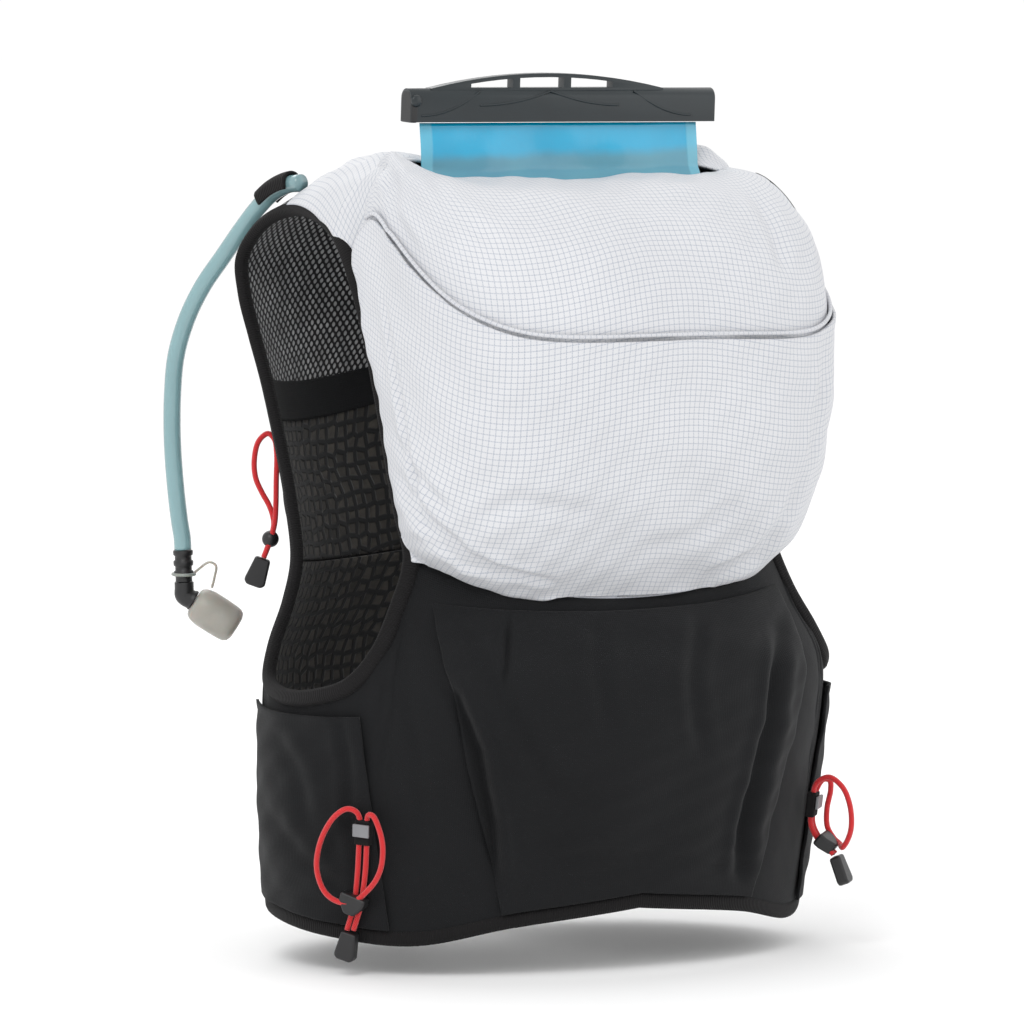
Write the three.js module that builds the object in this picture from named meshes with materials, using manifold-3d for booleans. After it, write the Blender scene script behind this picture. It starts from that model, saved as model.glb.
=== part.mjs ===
// A running hydration vest, in the form that it keeps when worn: a black cloth body, a white pack
// on the back, a water bladder under its slide closure, a drinking hose and red elastic cords.
// Millimetres. +X is the wearer's right, +Y the wearer's front, +Z up.
// The origin lies between the two shoulder straps, on the line of the shoulders.

import * as THREE from 'three';
import Module from 'manifold-3d';
import { mergeVertices } from 'three/addons/utils/BufferGeometryUtils.js';

const wasm = await Module();
wasm.setup();

// Driving sizes
const vestLength = 395;
const chestHalfWidth = 160;
const chestHalfDepth = 120;
const packHalfWidth = 123;
const packReach = 160;
const clothWall = 1.6;
const packWall = 1.4;
const spacedMeshWall = 4;
const layerGap = 0.6;
const pocketLift = 0.7;
const buttGap = 0.4;
const bindingWidth = 9;
const bindingThickness = 7;
const neckBindingWidth = 7;
const hemHeight = 8;
const hemThickness = 3.2;
const backPocketSlack = 9;
const sidePocketSlack = 4;
const frontPocketDepth = 11;
const pipingDiameter = 2.4;
const bladderWidth = 172;
const bladderThickness = 24;
const filmWall = 1;
const closureLength = 189;
const closureDepth = 11;
const closureHeight = 18;
const closureGap = 0.69;
const handleHeight = 8;
const handleWall = 3;
const hoseDiameter = 9.5;
const hoseLoopWidth = 24;
const hoseLoopWall = 1.6;
const fittingLength = 17;
const valveDiameter = 21;
const valveLength = 27;
const leashDiameter = 1.4;
const cordDiameter = 3;
const zipCordDiameter = 2.2;
const cordClearance = 0.35;
const keeperWidth = 9;
const keeperHeight = 14;
const keeperDepth = 5.2;
const keeperBandHeight = 7;
const keeperBandWall = 1;
const hookWidth = 15;
const hookHeight = 11;
const hookDepth = 7.5;
const cordEndHeight = 16;
const cordEndWidth = 12;
const cordEndTopWidth = 8.5;
const cordEndDepth = 6.5;

// Tables. Heights are shares of vestLength below the shoulders, widths are shares of chestHalfWidth
// and depths are shares of chestHalfDepth, towards the wearer's front.

const torsoSections = [
  { at: 0.40, width: 0.80, depth: 0.80, centre: -0.07 },
  { at: 0.476, width: 0.838, depth: 0.825, centre: -0.083 },
  { at: 0.56, width: 0.91, depth: 0.90, centre: -0.11 },
  { at: 0.645, width: 1.0, depth: 0.98, centre: -0.15 },
  { at: 0.835, width: 0.981, depth: 0.958, centre: -0.083 },
  { at: 1.04, width: 0.95, depth: 0.91, centre: -0.03 },
];

// Each row goes across the strap, from the armhole's edge to the neck's or the front opening's edge.
const strapRows = [
  { out: 0.769, ahead: -0.10, down: 0.051, neckOut: 0.41, neckAhead: -0.17, neckDown: -0.035, crown: 3, lift: 18 },
  { out: 0.750, ahead: 0.167, down: 0.023, neckOut: 0.39, neckAhead: 0.13, neckDown: -0.04, crown: 5, lift: 8 },
  { out: 0.744, ahead: 0.417, down: 0.023, neckOut: 0.37, neckAhead: 0.42, neckDown: -0.02, crown: 6, lift: 0.5 },
  { out: 0.781, ahead: 0.600, down: 0.048, neckOut: 0.35, neckAhead: 0.65, neckDown: 0.02, crown: 7, lift: 0 },
  { out: 0.812, ahead: 0.710, down: 0.095, neckOut: 0.32, neckAhead: 0.80, neckDown: 0.08, crown: 8, lift: 0 },
  { out: 0.812, ahead: 0.692, down: 0.142, neckOut: 0.29, neckAhead: 0.88, neckDown: 0.13, crown: 10, lift: 0 },
  { out: 0.794, ahead: 0.640, down: 0.200, neckOut: 0.24, neckAhead: 0.93, neckDown: 0.20, crown: 12, lift: 0 },
  { out: 0.787, ahead: 0.540, down: 0.263, neckOut: 0.19, neckAhead: 0.96, neckDown: 0.265, crown: 14, lift: 0 },
  { out: 0.794, ahead: 0.375, down: 0.362, neckOut: 0.12, neckAhead: 0.90, neckDown: 0.36, crown: 20, lift: 0 },
  { out: 0.800, ahead: 0.292, down: 0.418, neckOut: 0.085, neckAhead: 0.82, neckDown: 0.425, crown: 20, lift: 0 },
  { out: 0.812, ahead: 0.208, down: 0.496, neckOut: 0.075, neckAhead: 0.745, neckDown: 0.506, crown: 20, lift: 0 },
];
const strapEnd = 7.35;

// The lower edge of the armhole, from the front round to the pack's bottom corner. turn is the angle
// round the body from the middle of the back, as a share of a half turn.
const underarm = [
  { turn: 0.607, down: 0.552 },
  { turn: 0.594, down: 0.608 },
  { turn: 0.570, down: 0.653 },
  { turn: 0.503, down: 0.668 },
  { turn: 0.430, down: 0.663 },
  { turn: 0.372, down: 0.643 },
  { turn: 0.340, down: 0.603 },
  { turn: 0.322, down: 0.544 },
];

// The back edge of the armhole, upwards along the pack.
const armholeBack = [
  { at: 0.476, out: 0.694, ahead: -0.552 },
  { at: 0.392, out: 0.706, ahead: -0.467 },
  { at: 0.296, out: 0.725, ahead: -0.408 },
  { at: 0.187, out: 0.7375, ahead: -0.30 },
  { at: 0.111, out: 0.7625, ahead: -0.235 },
  { at: 0.051, out: 0.769, ahead: -0.10 },
];

// The pack's cross sections from its bottom seam to its mouth. centreReach and sideReach are shares
// of packReach behind the shoulders, width is a share of packHalfWidth.
const packSections = [
  { at: 0.00, centreDown: 0.532, sideDown: 0.484, width: 0.86, centreReach: 0.681, sideReach: 0.447, power: 2.1 },
  { at: 0.09, centreDown: 0.481, sideDown: 0.446, width: 0.925, centreReach: 0.80, sideReach: 0.50, power: 2.2 },
  { at: 0.19, centreDown: 0.420, sideDown: 0.405, width: 0.955, centreReach: 0.885, sideReach: 0.53, power: 2.4 },
  { at: 0.33, centreDown: 0.334, sideDown: 0.329, width: 0.98, centreReach: 0.955, sideReach: 0.54, power: 2.6 },
  { at: 0.47, centreDown: 0.251, sideDown: 0.248, width: 0.995, centreReach: 0.985, sideReach: 0.525, power: 2.7 },
  { at: 0.61, centreDown: 0.167, sideDown: 0.165, width: 1.005, centreReach: 1.0, sideReach: 0.49, power: 2.7 },
  { at: 0.73, centreDown: 0.094, sideDown: 0.084, width: 1.005, centreReach: 0.965, sideReach: 0.435, power: 2.7 },
  { at: 0.83, centreDown: 0.030, sideDown: 0.014, width: 0.975, centreReach: 0.865, sideReach: 0.36, power: 2.6 },
  { at: 0.91, centreDown: -0.018, sideDown: -0.028, width: 0.915, centreReach: 0.68, sideReach: 0.28, power: 2.6 },
  { at: 0.97, centreDown: -0.030, sideDown: -0.044, width: 0.835, centreReach: 0.44, sideReach: 0.205, power: 2.8 },
  { at: 1.00, centreDown: -0.014, sideDown: -0.040, width: 0.815, centreReach: 0.315, sideReach: 0.165, power: 3.2 },
];
const tuckShare = 0.74;
const packLean = 9;

// The mouth of the outer pocket: places up the pack for places from its middle to its side seam.
const pocketMouth = [
  { at: 0.0, up: 0.600 },
  { at: 0.30, up: 0.600 },
  { at: 0.50, up: 0.640 },
  { at: 0.65, up: 0.700 },
  { at: 0.80, up: 0.780 },
  { at: 0.97, up: 0.860 },
];
const pocketMouthSlant = 0.035;

// The spaced mesh panel against the wearer's back, at its middle, upwards.
const backPanelMiddle = [
  { at: 0.540, reach: 0.885 },
  { at: 0.400, reach: 0.80 },
  { at: 0.250, reach: 0.715 },
  { at: 0.110, reach: 0.535 },
  { at: 0.020, reach: 0.33 },
  { at: -0.035, reach: 0.215 },
];

// The hem's height by the angle round the body, as a share of a half turn from the back.
const hemRise = [
  { at: 0.0, down: 0.955 },
  { at: 0.15, down: 0.975 },
  { at: 0.27, down: 1.0 },
  { at: 0.40, down: 0.993 },
  { at: 0.60, down: 0.975 },
  { at: 0.95, down: 0.972 },
];

// Small tools for shapes

function along(table, at, name) {
  let upper = 1;
  const rising = table[table.length - 1].at > table[0].at;
  while (upper < table.length - 1 && (rising ? table[upper].at < at : table[upper].at > at)) {
    upper += 1;
  }
  const low = table[upper - 1];
  const high = table[upper];
  const before = table[Math.max(upper - 2, 0)];
  const after = table[Math.min(upper + 1, table.length - 1)];
  const span = high.at - low.at;
  const t = THREE.MathUtils.clamp((at - low.at) / span, 0, 1);
  const lowSlope = (high[name] - before[name]) / (high.at - before.at) * span;
  const highSlope = (after[name] - low[name]) / (after.at - low.at) * span;
  const value = low[name] * (2 * t ** 3 - 3 * t ** 2 + 1) + high[name] * (3 * t ** 2 - 2 * t ** 3);
  return value + lowSlope * (t ** 3 - 2 * t ** 2 + t) + highSlope * (t ** 3 - t ** 2);
}

function mix(low, high, share) {
  return low + (high - low) * share;
}

function mixPoints(low, high, share) {
  return low.clone().lerp(high, share);
}

function steps(from, to, count) {
  return Array.from({ length: count + 1 }, (unused, index) => mix(from, to, index / count));
}

function mirrored(point, side) {
  return new THREE.Vector3(point.x * side, point.y, point.z);
}

function fromShares(out, ahead, down) {
  return new THREE.Vector3(out * chestHalfWidth, ahead * chestHalfDepth, -down * vestLength);
}

function buildGeometry(points, faces) {
  const geometry = new THREE.BufferGeometry();
  geometry.setAttribute('position', new THREE.Float32BufferAttribute(points.flatMap((p) => [p.x, p.y, p.z]), 3));
  geometry.setIndex(faces.flat());
  let volume = 0;
  for (const [a, b, c] of faces) {
    volume += points[a].dot(new THREE.Vector3().crossVectors(points[b], points[c]));
  }
  if (volume < 0) {
    geometry.setIndex(faces.map(([a, b, c]) => [a, c, b]).flat());
  }
  return geometry;
}

// A grid of points moved along its own normals, away from a centre.
function moved(grid, distance, centre) {
  const rows = grid.length;
  const columns = grid[0].length;
  const normals = grid.map((line, i) => line.map((point, j) => {
    const alongRows = grid[Math.min(i + 1, rows - 1)][j].clone().sub(grid[Math.max(i - 1, 0)][j]);
    const alongColumns = line[Math.min(j + 1, columns - 1)].clone().sub(line[Math.max(j - 1, 0)]);
    return alongRows.cross(alongColumns).normalize();
  }));
  const middle = grid[Math.floor(rows / 2)][Math.floor(columns / 2)];
  const facing = normals[Math.floor(rows / 2)][Math.floor(columns / 2)].dot(middle.clone().sub(centre));
  const sign = facing < 0 ? -1 : 1;
  return grid.map((line, i) => line.map((point, j) => point.clone().addScaledVector(normals[i][j], distance * sign)));
}

// A cloth wall between two layers of points, closed at its rims.
function wallBetween(outer, inner) {
  const rows = outer.length;
  const columns = outer[0].length;
  const points = [...outer.flat(), ...inner.flat()];
  const place = (i, j, layer) => (layer * rows + i) * columns + j;
  const faces = [];
  const quad = (a, b, c, d) => faces.push([a, b, c], [a, c, d]);
  for (let i = 0; i < rows - 1; i += 1) {
    for (let j = 0; j < columns - 1; j += 1) {
      quad(place(i, j, 0), place(i + 1, j, 0), place(i + 1, j + 1, 0), place(i, j + 1, 0));
      quad(place(i, j, 1), place(i, j + 1, 1), place(i + 1, j + 1, 1), place(i + 1, j, 1));
    }
    quad(place(i, 0, 0), place(i, 0, 1), place(i + 1, 0, 1), place(i + 1, 0, 0));
    const j = columns - 1;
    quad(place(i + 1, j, 0), place(i + 1, j, 1), place(i, j, 1), place(i, j, 0));
  }
  for (let j = 0; j < columns - 1; j += 1) {
    quad(place(0, j + 1, 0), place(0, j + 1, 1), place(0, j, 1), place(0, j, 0));
    const i = rows - 1;
    quad(place(i, j, 0), place(i, j, 1), place(i, j + 1, 1), place(i, j + 1, 0));
  }
  return buildGeometry(points, faces);
}

function wall(grid, outer, inner, centre) {
  return wallBetween(moved(grid, outer, centre), moved(grid, -inner, centre));
}

// A body through a row of rings of points, capped at both ends, or joined end to end.
function loft(rings, joined) {
  const around = rings[0].length;
  const points = rings.flat();
  const faces = [];
  const last = joined ? rings.length : rings.length - 1;
  for (let i = 0; i < last; i += 1) {
    const next = (i + 1) % rings.length;
    for (let j = 0; j < around; j += 1) {
      const k = (j + 1) % around;
      faces.push([i * around + j, next * around + j, next * around + k]);
      faces.push([i * around + j, next * around + k, i * around + k]);
    }
  }
  if (!joined) {
    for (const end of [0, rings.length - 1]) {
      const centre = new THREE.Vector3();
      rings[end].forEach((point) => centre.addScaledVector(point, 1 / around));
      points.push(centre);
      for (let j = 0; j < around; j += 1) {
        const face = [points.length - 1, end * around + j, end * around + (j + 1) % around];
        faces.push(end === 0 ? face : face.reverse());
      }
    }
  }
  return buildGeometry(points, faces);
}

// A round tube along a curve.
function tube(points, diameter, sides, count) {
  const outline = new THREE.Shape(steps(0, 2 * Math.PI, sides).slice(0, -1).map((angle) => (
    new THREE.Vector2(Math.cos(angle), Math.sin(angle)).multiplyScalar(diameter / 2)
  )));
  const path = new THREE.CatmullRomCurve3(points, false, 'centripetal');
  return new THREE.ExtrudeGeometry(outline, { steps: count, extrudePath: path, bevelEnabled: false });
}

// An outline carried straight through a depth, centred on it.
function slab(outline, depth) {
  const geometry = new THREE.ExtrudeGeometry(outline, { depth, bevelEnabled: false });
  return geometry.translate(0, 0, -depth / 2);
}

function solid(geometry) {
  const bare = new THREE.BufferGeometry();
  bare.setAttribute('position', geometry.getAttribute('position'));
  bare.setIndex(geometry.getIndex());
  const merged = mergeVertices(bare, 1e-4);
  return new wasm.Manifold(new wasm.Mesh({
    numProp: 3,
    vertProperties: new Float32Array(merged.getAttribute('position').array),
    triVerts: new Uint32Array(merged.getIndex().array),
  }));
}

// The largest body of a solid, with the slivers that a cut leaves beyond a binding dropped.
function geometryOf(body) {
  const parts = body.decompose().sort((a, b) => b.volume() - a.volume());
  const mesh = parts[0].getMesh();
  const geometry = new THREE.BufferGeometry();
  geometry.setAttribute('position', new THREE.Float32BufferAttribute(mesh.vertProperties, 3));
  geometry.setIndex(Array.from(mesh.triVerts));
  return geometry;
}

function cut(geometry, ...tools) {
  let body = solid(geometry);
  for (const tool of tools) {
    body = body.subtract(solid(tool));
  }
  return geometryOf(body);
}

// Finishes
const finishes = {
  blackCloth: { color: 0x1c1d1f, roughness: 0.85, metalness: 0 },
  blackMesh: { color: 0x242527, roughness: 0.9, metalness: 0 },
  binding: { color: 0x262425, roughness: 0.8, metalness: 0 },
  whiteCloth: { color: 0xe6e6ea, roughness: 0.6, metalness: 0 },
  film: { color: 0x2a9fd8, roughness: 0.25, metalness: 0 },
  smokePlastic: { color: 0x373f46, roughness: 0.3, metalness: 0 },
  hose: { color: 0x96bec3, roughness: 0.2, metalness: 0 },
  blackPlastic: { color: 0x151618, roughness: 0.45, metalness: 0 },
  silicone: { color: 0x9b9b92, roughness: 0.4, metalness: 0 },
  redElastic: { color: 0xe61e23, roughness: 0.7, metalness: 0 },
  greyBand: { color: 0x78787a, roughness: 0.5, metalness: 0 },
  blackCord: { color: 0x1a1a1c, roughness: 0.8, metalness: 0 },
};

const vest = new THREE.Group();

function addPiece(name, geometry, finish, parent = vest) {
  const mesh = new THREE.Mesh(geometry, new THREE.MeshStandardMaterial(finishes[finish]));
  mesh.name = name;
  parent.add(mesh);
  return mesh;
}

// The body's form

function torso(angle, height) {
  const at = -height / vestLength;
  const width = along(torsoSections, at, 'width') * chestHalfWidth;
  const depth = along(torsoSections, at, 'depth') * chestHalfDepth;
  const centre = along(torsoSections, at, 'centre') * chestHalfDepth;
  return new THREE.Vector3(width * Math.sin(angle), centre - depth * Math.cos(angle), height);
}

function torsoAngle(point) {
  const at = -point.z / vestLength;
  const width = along(torsoSections, at, 'width') * chestHalfWidth;
  const depth = along(torsoSections, at, 'depth') * chestHalfDepth;
  const centre = along(torsoSections, at, 'centre') * chestHalfDepth;
  return Math.atan2(point.x / width, (centre - point.y) / depth);
}

function hemHeightAt(angle) {
  return -along(hemRise, Math.abs(angle) / Math.PI, 'down') * vestLength;
}

function backEdge(height) {
  const at = -height / vestLength;
  const out = along(armholeBack, at, 'out');
  const ahead = along(armholeBack, at, 'ahead');
  return fromShares(out, ahead, at);
}

function strapOuter(row) {
  const table = strapRows.map((entry, index) => ({ ...entry, at: index }));
  return fromShares(along(table, row, 'out'), along(table, row, 'ahead'), along(table, row, 'down'));
}

function strapInner(row) {
  const table = strapRows.map((entry, index) => ({ ...entry, at: index }));
  return fromShares(along(table, row, 'neckOut'), along(table, row, 'neckAhead'), along(table, row, 'neckDown'));
}

const chestCentre = new THREE.Vector3(0.3 * chestHalfWidth, 0.1 * chestHalfDepth, -0.25 * vestLength);

// The middle of a strap's cloth, arched between its two edges. A yoke is lifted over the strap.
function strapPoint(row, across, lifted = false) {
  const table = strapRows.map((entry, index) => ({ ...entry, at: index }));
  const outer = strapOuter(row);
  const inner = strapInner(row);
  const onward = strapOuter(Math.min(row + 0.1, strapRows.length - 1)).sub(strapOuter(Math.max(row - 0.1, 0)));
  const outward = inner.clone().sub(outer).cross(onward).normalize();
  const point = mixPoints(outer, inner, across);
  if (outward.dot(point.clone().sub(chestCentre)) < 0) {
    outward.negate();
  }
  const arch = along(table, row, 'crown') + (lifted ? along(table, row, 'lift') : 0);
  return point.addScaledVector(outward, arch * Math.sin(Math.PI * across) ** 0.8);
}

const lastRow = strapRows.length - 1;
const packCorner = backEdge(-armholeBack[0].at * vestLength);

// The closed line of an armhole: up the pack, over the shoulder, down the strap, under the arm.
function armholeLine() {
  const up = steps(armholeBack[0].at, armholeBack[armholeBack.length - 1].at, 7).slice(0, -1);
  const points = up.map((down) => backEdge(-down * vestLength));
  steps(0, lastRow, lastRow).forEach((row) => points.push(strapOuter(row)));
  underarm.forEach((row) => points.push(torso(row.turn * Math.PI, -row.down * vestLength)));
  return new THREE.CatmullRomCurve3(points, true, 'centripetal');
}

const armhole = armholeLine();

// A soft binding folded over an edge: an oval section that keeps its flat side on the cloth.
function bindingRings(curve, count, width, thickness, joined, sides) {
  return steps(0, 1, count).slice(0, joined ? -1 : undefined).map((share) => {
    const point = curve.getPointAt(share);
    const onward = curve.getTangentAt(share);
    const core = new THREE.Vector3(
      Math.sign(point.x) * Math.min(Math.abs(point.x), 0.4 * chestHalfWidth),
      0.08 * chestHalfDepth,
      Math.min(point.z, -0.15 * vestLength),
    );
    const across = onward.clone().cross(point.clone().sub(core)).normalize();
    const outward = across.clone().cross(onward).normalize();
    return steps(0, 2 * Math.PI, sides).slice(0, -1).map((angle) => point.clone()
      .addScaledVector(across, width / 2 * Math.cos(angle))
      .addScaledVector(outward, thickness / 2 * Math.sin(angle)));
  });
}

function mirrorRings(rings, side) {
  return rings.map((ring) => ring.map((point) => mirrored(point, side)));
}

function armholeRing(side, clearance) {
  const width = bindingWidth + 2 * clearance;
  const thickness = bindingThickness + 2 * clearance;
  return loft(mirrorRings(bindingRings(armhole, 34, width, thickness, true, 6), side), true);
}

// The neck's line: up one front opening, round the neck and down the other.
function neckLine(extension) {
  const right = steps(lastRow, 0, lastRow).map((row) => strapInner(row));
  right[0].z += 2 - extension;
  const top = backPanelMiddle[backPanelMiddle.length - 1];
  const nape = fromShares(0, -top.reach, top.at);
  const points = [...right, nape, ...right.map((point) => mirrored(point, -1)).reverse()];
  return new THREE.CatmullRomCurve3(points, false, 'centripetal');
}

function neckRing(clearance) {
  const width = neckBindingWidth + 2 * clearance;
  const rings = bindingRings(neckLine(clearance), 28, width, bindingThickness - 1 + 2 * clearance, false, 6);
  return loft(rings, false);
}

const sides = [{ label: 'left', side: -1 }, { label: 'right', side: 1 }];
const armholeTools = sides.map(({ side }) => armholeRing(side, buttGap));
const neckTool = neckRing(buttGap);

sides.forEach(({ label, side }) => {
  addPiece(`armhole_binding_${label}`, armholeRing(side, 0), 'binding');
});
addPiece('neck_binding', neckRing(0), 'binding');

// Lower body

function packSeamPoint(share) {
  const height = mix(-packSections[0].centreDown * vestLength, packCorner.z, share ** 2);
  return torso(share * torsoAngle(packCorner), height);
}

// The upper edge of one half of the lower body, from the middle of the back to the front opening.
function upperEdge() {
  const seam = steps(0, 1, 4).map((share) => packSeamPoint(share));
  const below = [...underarm].reverse();
  const lineUnder = [packCorner, ...below.map((row) => torso(row.turn * Math.PI, -row.down * vestLength))];
  lineUnder.push(strapOuter(lastRow));
  const under = new THREE.CatmullRomCurve3(lineUnder, false, 'centripetal');
  const front = steps(0, 1, 3).map((share) => strapPoint(lastRow, share));
  const curve = steps(0, 1, 10).map((share) => under.getPointAt(share));
  return [...seam, ...curve.slice(1), ...front.slice(1)];
}

function lowerBodyGrid() {
  const half = upperEdge().map((top) => {
    const angle = torsoAngle(top);
    const low = hemHeightAt(angle) + hemHeight + buttGap;
    const miss = top.clone().sub(torso(angle, top.z));
    return steps(0, 1, 5).map((share) => (
      torso(angle, mix(top.z, low, share)).addScaledVector(miss, (1 - share) ** 2)
    ));
  });
  const left = half.slice(1).reverse().map((line) => line.map((point) => mirrored(point, -1)));
  return [...left, ...half];
}

const bodyCentre = new THREE.Vector3(0, 0, -0.8 * vestLength);

// The hem band runs round the foot of the body.
function hemGrid() {
  const half = upperEdge().map((top) => torsoAngle(top));
  const angles = [...half.slice(1).reverse().map((angle) => -angle), ...half];
  return angles.map((angle) => {
    const low = hemHeightAt(angle);
    return [torso(angle, low), torso(angle, low + hemHeight)];
  });
}

addPiece('hem_band', wall(hemGrid(), 0.8, hemThickness - 0.8, bodyCentre), 'binding');

// A pocket layer over the body: columns between two edges that change with height.
function pocketGrid(edges, columns, rows, slack, side) {
  return steps(0, 1, columns).map((across) => steps(0, 1, rows).map((down) => {
    const angle = mix(edges.from(down), edges.to(down), across);
    const low = hemHeightAt(angle) + hemHeight + buttGap;
    const height = mix(edges.top(across), low, down);
    const swell = Math.sin(Math.PI * across) ** 0.7 * Math.sin(Math.PI * Math.min(down + 0.1, 1)) ** 0.8;
    const near = torso(angle, height);
    const outward = new THREE.Vector3(near.x, near.y * 1.6, 0).normalize();
    return mirrored(near.addScaledVector(outward, layerGap + pocketLift + clothWall + slack * swell), side);
  }));
}

const halfTurn = Math.PI;
const backPocketEdges = {
  from: (down) => -mix(0.275, 0.165, down ** 0.8) * halfTurn,
  to: (down) => mix(0.275, 0.165, down ** 0.8) * halfTurn,
  top: (across) => mix(packSections[0].centreDown, 0.52, Math.abs(2 * across - 1) ** 2) * -vestLength - 4,
};
addPiece('back_pocket', wall(pocketGrid(backPocketEdges, 10, 6, backPocketSlack, 1), 0, clothWall, bodyCentre), 'blackCloth');

const sidePocketTop = -0.685 * vestLength;
const sidePocketEdges = {
  from: (down) => mix(0.352, 0.305, down) * halfTurn,
  to: (down) => mix(0.62, 0.63, down) * halfTurn,
  top: (across) => sidePocketTop - 6 * across * (1 - across),
};

function sidePocketWall(side, clearance) {
  return wall(pocketGrid(sidePocketEdges, 7, 4, sidePocketSlack, side), clearance, clothWall + clearance, bodyCentre);
}

// Front panels, straps and the white yokes over the shoulders

function strapGrid(from, to, rowCount, columns, lifted, side) {
  return steps(from, to, rowCount).map((row) => steps(0, 1, columns).map((across) => (
    mirrored(strapPoint(row, across, lifted), side)
  )));
}

const rowGap = buttGap / 2 / 30;
const yokeRaise = spacedMeshWall / 2 + layerGap;

sides.forEach(({ label, side }, index) => {
  const centre = mirrored(chestCentre, side);
  const ring = armholeTools[index];
  const halfMesh = spacedMeshWall / 2;
  const strap = wall(strapGrid(0.1, strapEnd - rowGap, 8, 4, false, side), halfMesh, halfMesh, centre);
  addPiece(`shoulder_strap_${label}`, cut(strap, ring, neckTool), 'blackMesh');
  const panel = wall(strapGrid(strapEnd + rowGap, lastRow - 0.03, 3, 4, false, side), halfMesh, halfMesh, centre);
  addPiece(`front_panel_${label}`, cut(panel, ring, neckTool), 'blackMesh');
  const yoke = wall(strapGrid(0.1, 2, 4, 5, true, side), yokeRaise + packWall, -yokeRaise, centre);
  addPiece(`yoke_${label}`, cut(yoke, ring, neckTool), 'whiteCloth');
  addPiece(`side_pocket_${label}`, cut(sidePocketWall(side, 0), ring), 'blackCloth');
});

addPiece('lower_body', cut(wall(lowerBodyGrid(), 0, clothWall, bodyCentre), ...armholeTools, neckTool), 'blackCloth');

// Front pockets: a swelling layer over each front panel.
const frontPocketTop = 8.4;
const frontPocketFoot = 9.85;
const frontPocketSide = 0.2;
const frontPocketMiddle = 0.86;

function frontPocketGrid(side) {
  return steps(frontPocketTop, frontPocketFoot, 5).map((row) => steps(frontPocketSide, frontPocketMiddle, 5).map((across) => {
    const outward = strapPoint(row, across + 0.02).sub(strapPoint(row, across - 0.02));
    outward.set(outward.y, -outward.x, 0).normalize();
    if (outward.y < 0) {
      outward.negate();
    }
    const inward = (across - frontPocketSide) / (frontPocketMiddle - frontPocketSide);
    const edge = Math.max(Math.sin(Math.PI * inward), 0) ** 0.6;
    const fill = Math.sin(Math.PI * Math.min((row - frontPocketTop + 0.3) / 1.9, 1)) ** 0.7;
    const raise = spacedMeshWall / 2 + layerGap / 3 + frontPocketDepth * edge * fill;
    return mirrored(strapPoint(row, across).addScaledVector(outward, raise), side);
  }));
}

sides.forEach(({ label, side }) => {
  const pocket = wall(frontPocketGrid(side), clothWall, 0, mirrored(chestCentre, side));
  addPiece(`front_pocket_${label}`, pocket, 'blackCloth');
});

// Pack

function packPoint(across, up, side) {
  const section = (name) => along(packSections, up, name);
  const middle = new THREE.Vector3(0, -section('centreReach') * packReach, -section('centreDown') * vestLength);
  const lean = packLean * side * up ** 2;
  const wide = new THREE.Vector3(
    section('width') * packHalfWidth,
    -section('sideReach') * packReach,
    -section('sideDown') * vestLength - lean,
  );
  const edge = backEdge(-mix(armholeBack[0].at, armholeBack[armholeBack.length - 1].at, up) * vestLength);
  edge.add(new THREE.Vector3(0.5, -0.85, 0).multiplyScalar(bindingThickness / 4));
  const point = new THREE.Vector3();
  if (across <= tuckShare) {
    const share = across / tuckShare;
    const angle = share * Math.PI / 2;
    const power = 2 / section('power');
    const back = Math.max(Math.cos(angle), 0) ** power;
    point.set(wide.x * Math.sin(angle) ** power, mix(wide.y, middle.y, back), mix(middle.z, wide.z, share ** 2));
  } else {
    const turn = (across - tuckShare) / (1 - tuckShare) * Math.PI / 2;
    const sideways = Math.cos(turn);
    const forward = Math.sin(turn);
    point.set(mix(edge.x, wide.x, sideways), mix(wide.y, edge.y, forward), mix(edge.z, wide.z, sideways));
  }
  // The bottom row lies on the seam with the body.
  const settle = Math.max(1 - up / packSections[1].at, 0) ** 2;
  point.lerp(packSeamPoint(across).add(new THREE.Vector3(0, -layerGap, buttGap)), settle);
  return mirrored(point, side);
}

const packAcross = [0, 0.14, 0.27, 0.39, 0.50, 0.61, 0.74, 0.83, 0.92, 1.0];

function acrossBoth(places, line) {
  const left = places.slice(1).reverse().map((place) => line(place, -1));
  return [...left, ...places.map((place) => line(place, 1))];
}

const packCentre = new THREE.Vector3(0, -0.4 * packReach, -0.25 * vestLength);

const packRows = [0.004, 0.09, 0.2, 0.35, 0.52, 0.66, 0.78, 0.87, 0.95, 1];

const packGrid = acrossBoth(packAcross, (across, side) => packRows.map((up) => packPoint(across, up, side)));

addPiece('pack_body', cut(wall(packGrid, 0, packWall, packCentre), ...armholeTools), 'whiteCloth');

// The outer pocket is a layer over the pack, up to its curved mouth.
function pocketMouthUp(across, side) {
  return along(pocketMouth, across, 'up') - pocketMouthSlant * side * across;
}

const packPlaces = acrossBoth(packAcross, (across, side) => ({ across, side }));

function outwardFrom(point) {
  return new THREE.Vector3(point.x, point.y - packCentre.y, 0).normalize();
}

// Everything above the mouth's line, as a solid that the layer is cut with.
function aboveMouth() {
  const rings = packPlaces.map(({ across, side }) => {
    const point = packPoint(across, pocketMouthUp(across, side), side);
    const outward = outwardFrom(point);
    const near = point.clone().addScaledVector(outward, -packReach * 0.1);
    const far = point.clone().addScaledVector(outward, packReach * 0.2);
    const rise = new THREE.Vector3(0, 0, packReach);
    return [near, far, far.clone().add(rise), near.clone().add(rise)];
  });
  return loft(rings, false);
}

const pocketWall = wallBetween(
  moved(packGrid, layerGap + packWall, packCentre).slice(1, -1),
  moved(packGrid, layerGap, packCentre).slice(1, -1),
);
addPiece('pack_pocket', cut(pocketWall, aboveMouth(), ...armholeTools), 'whiteCloth');

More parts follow.
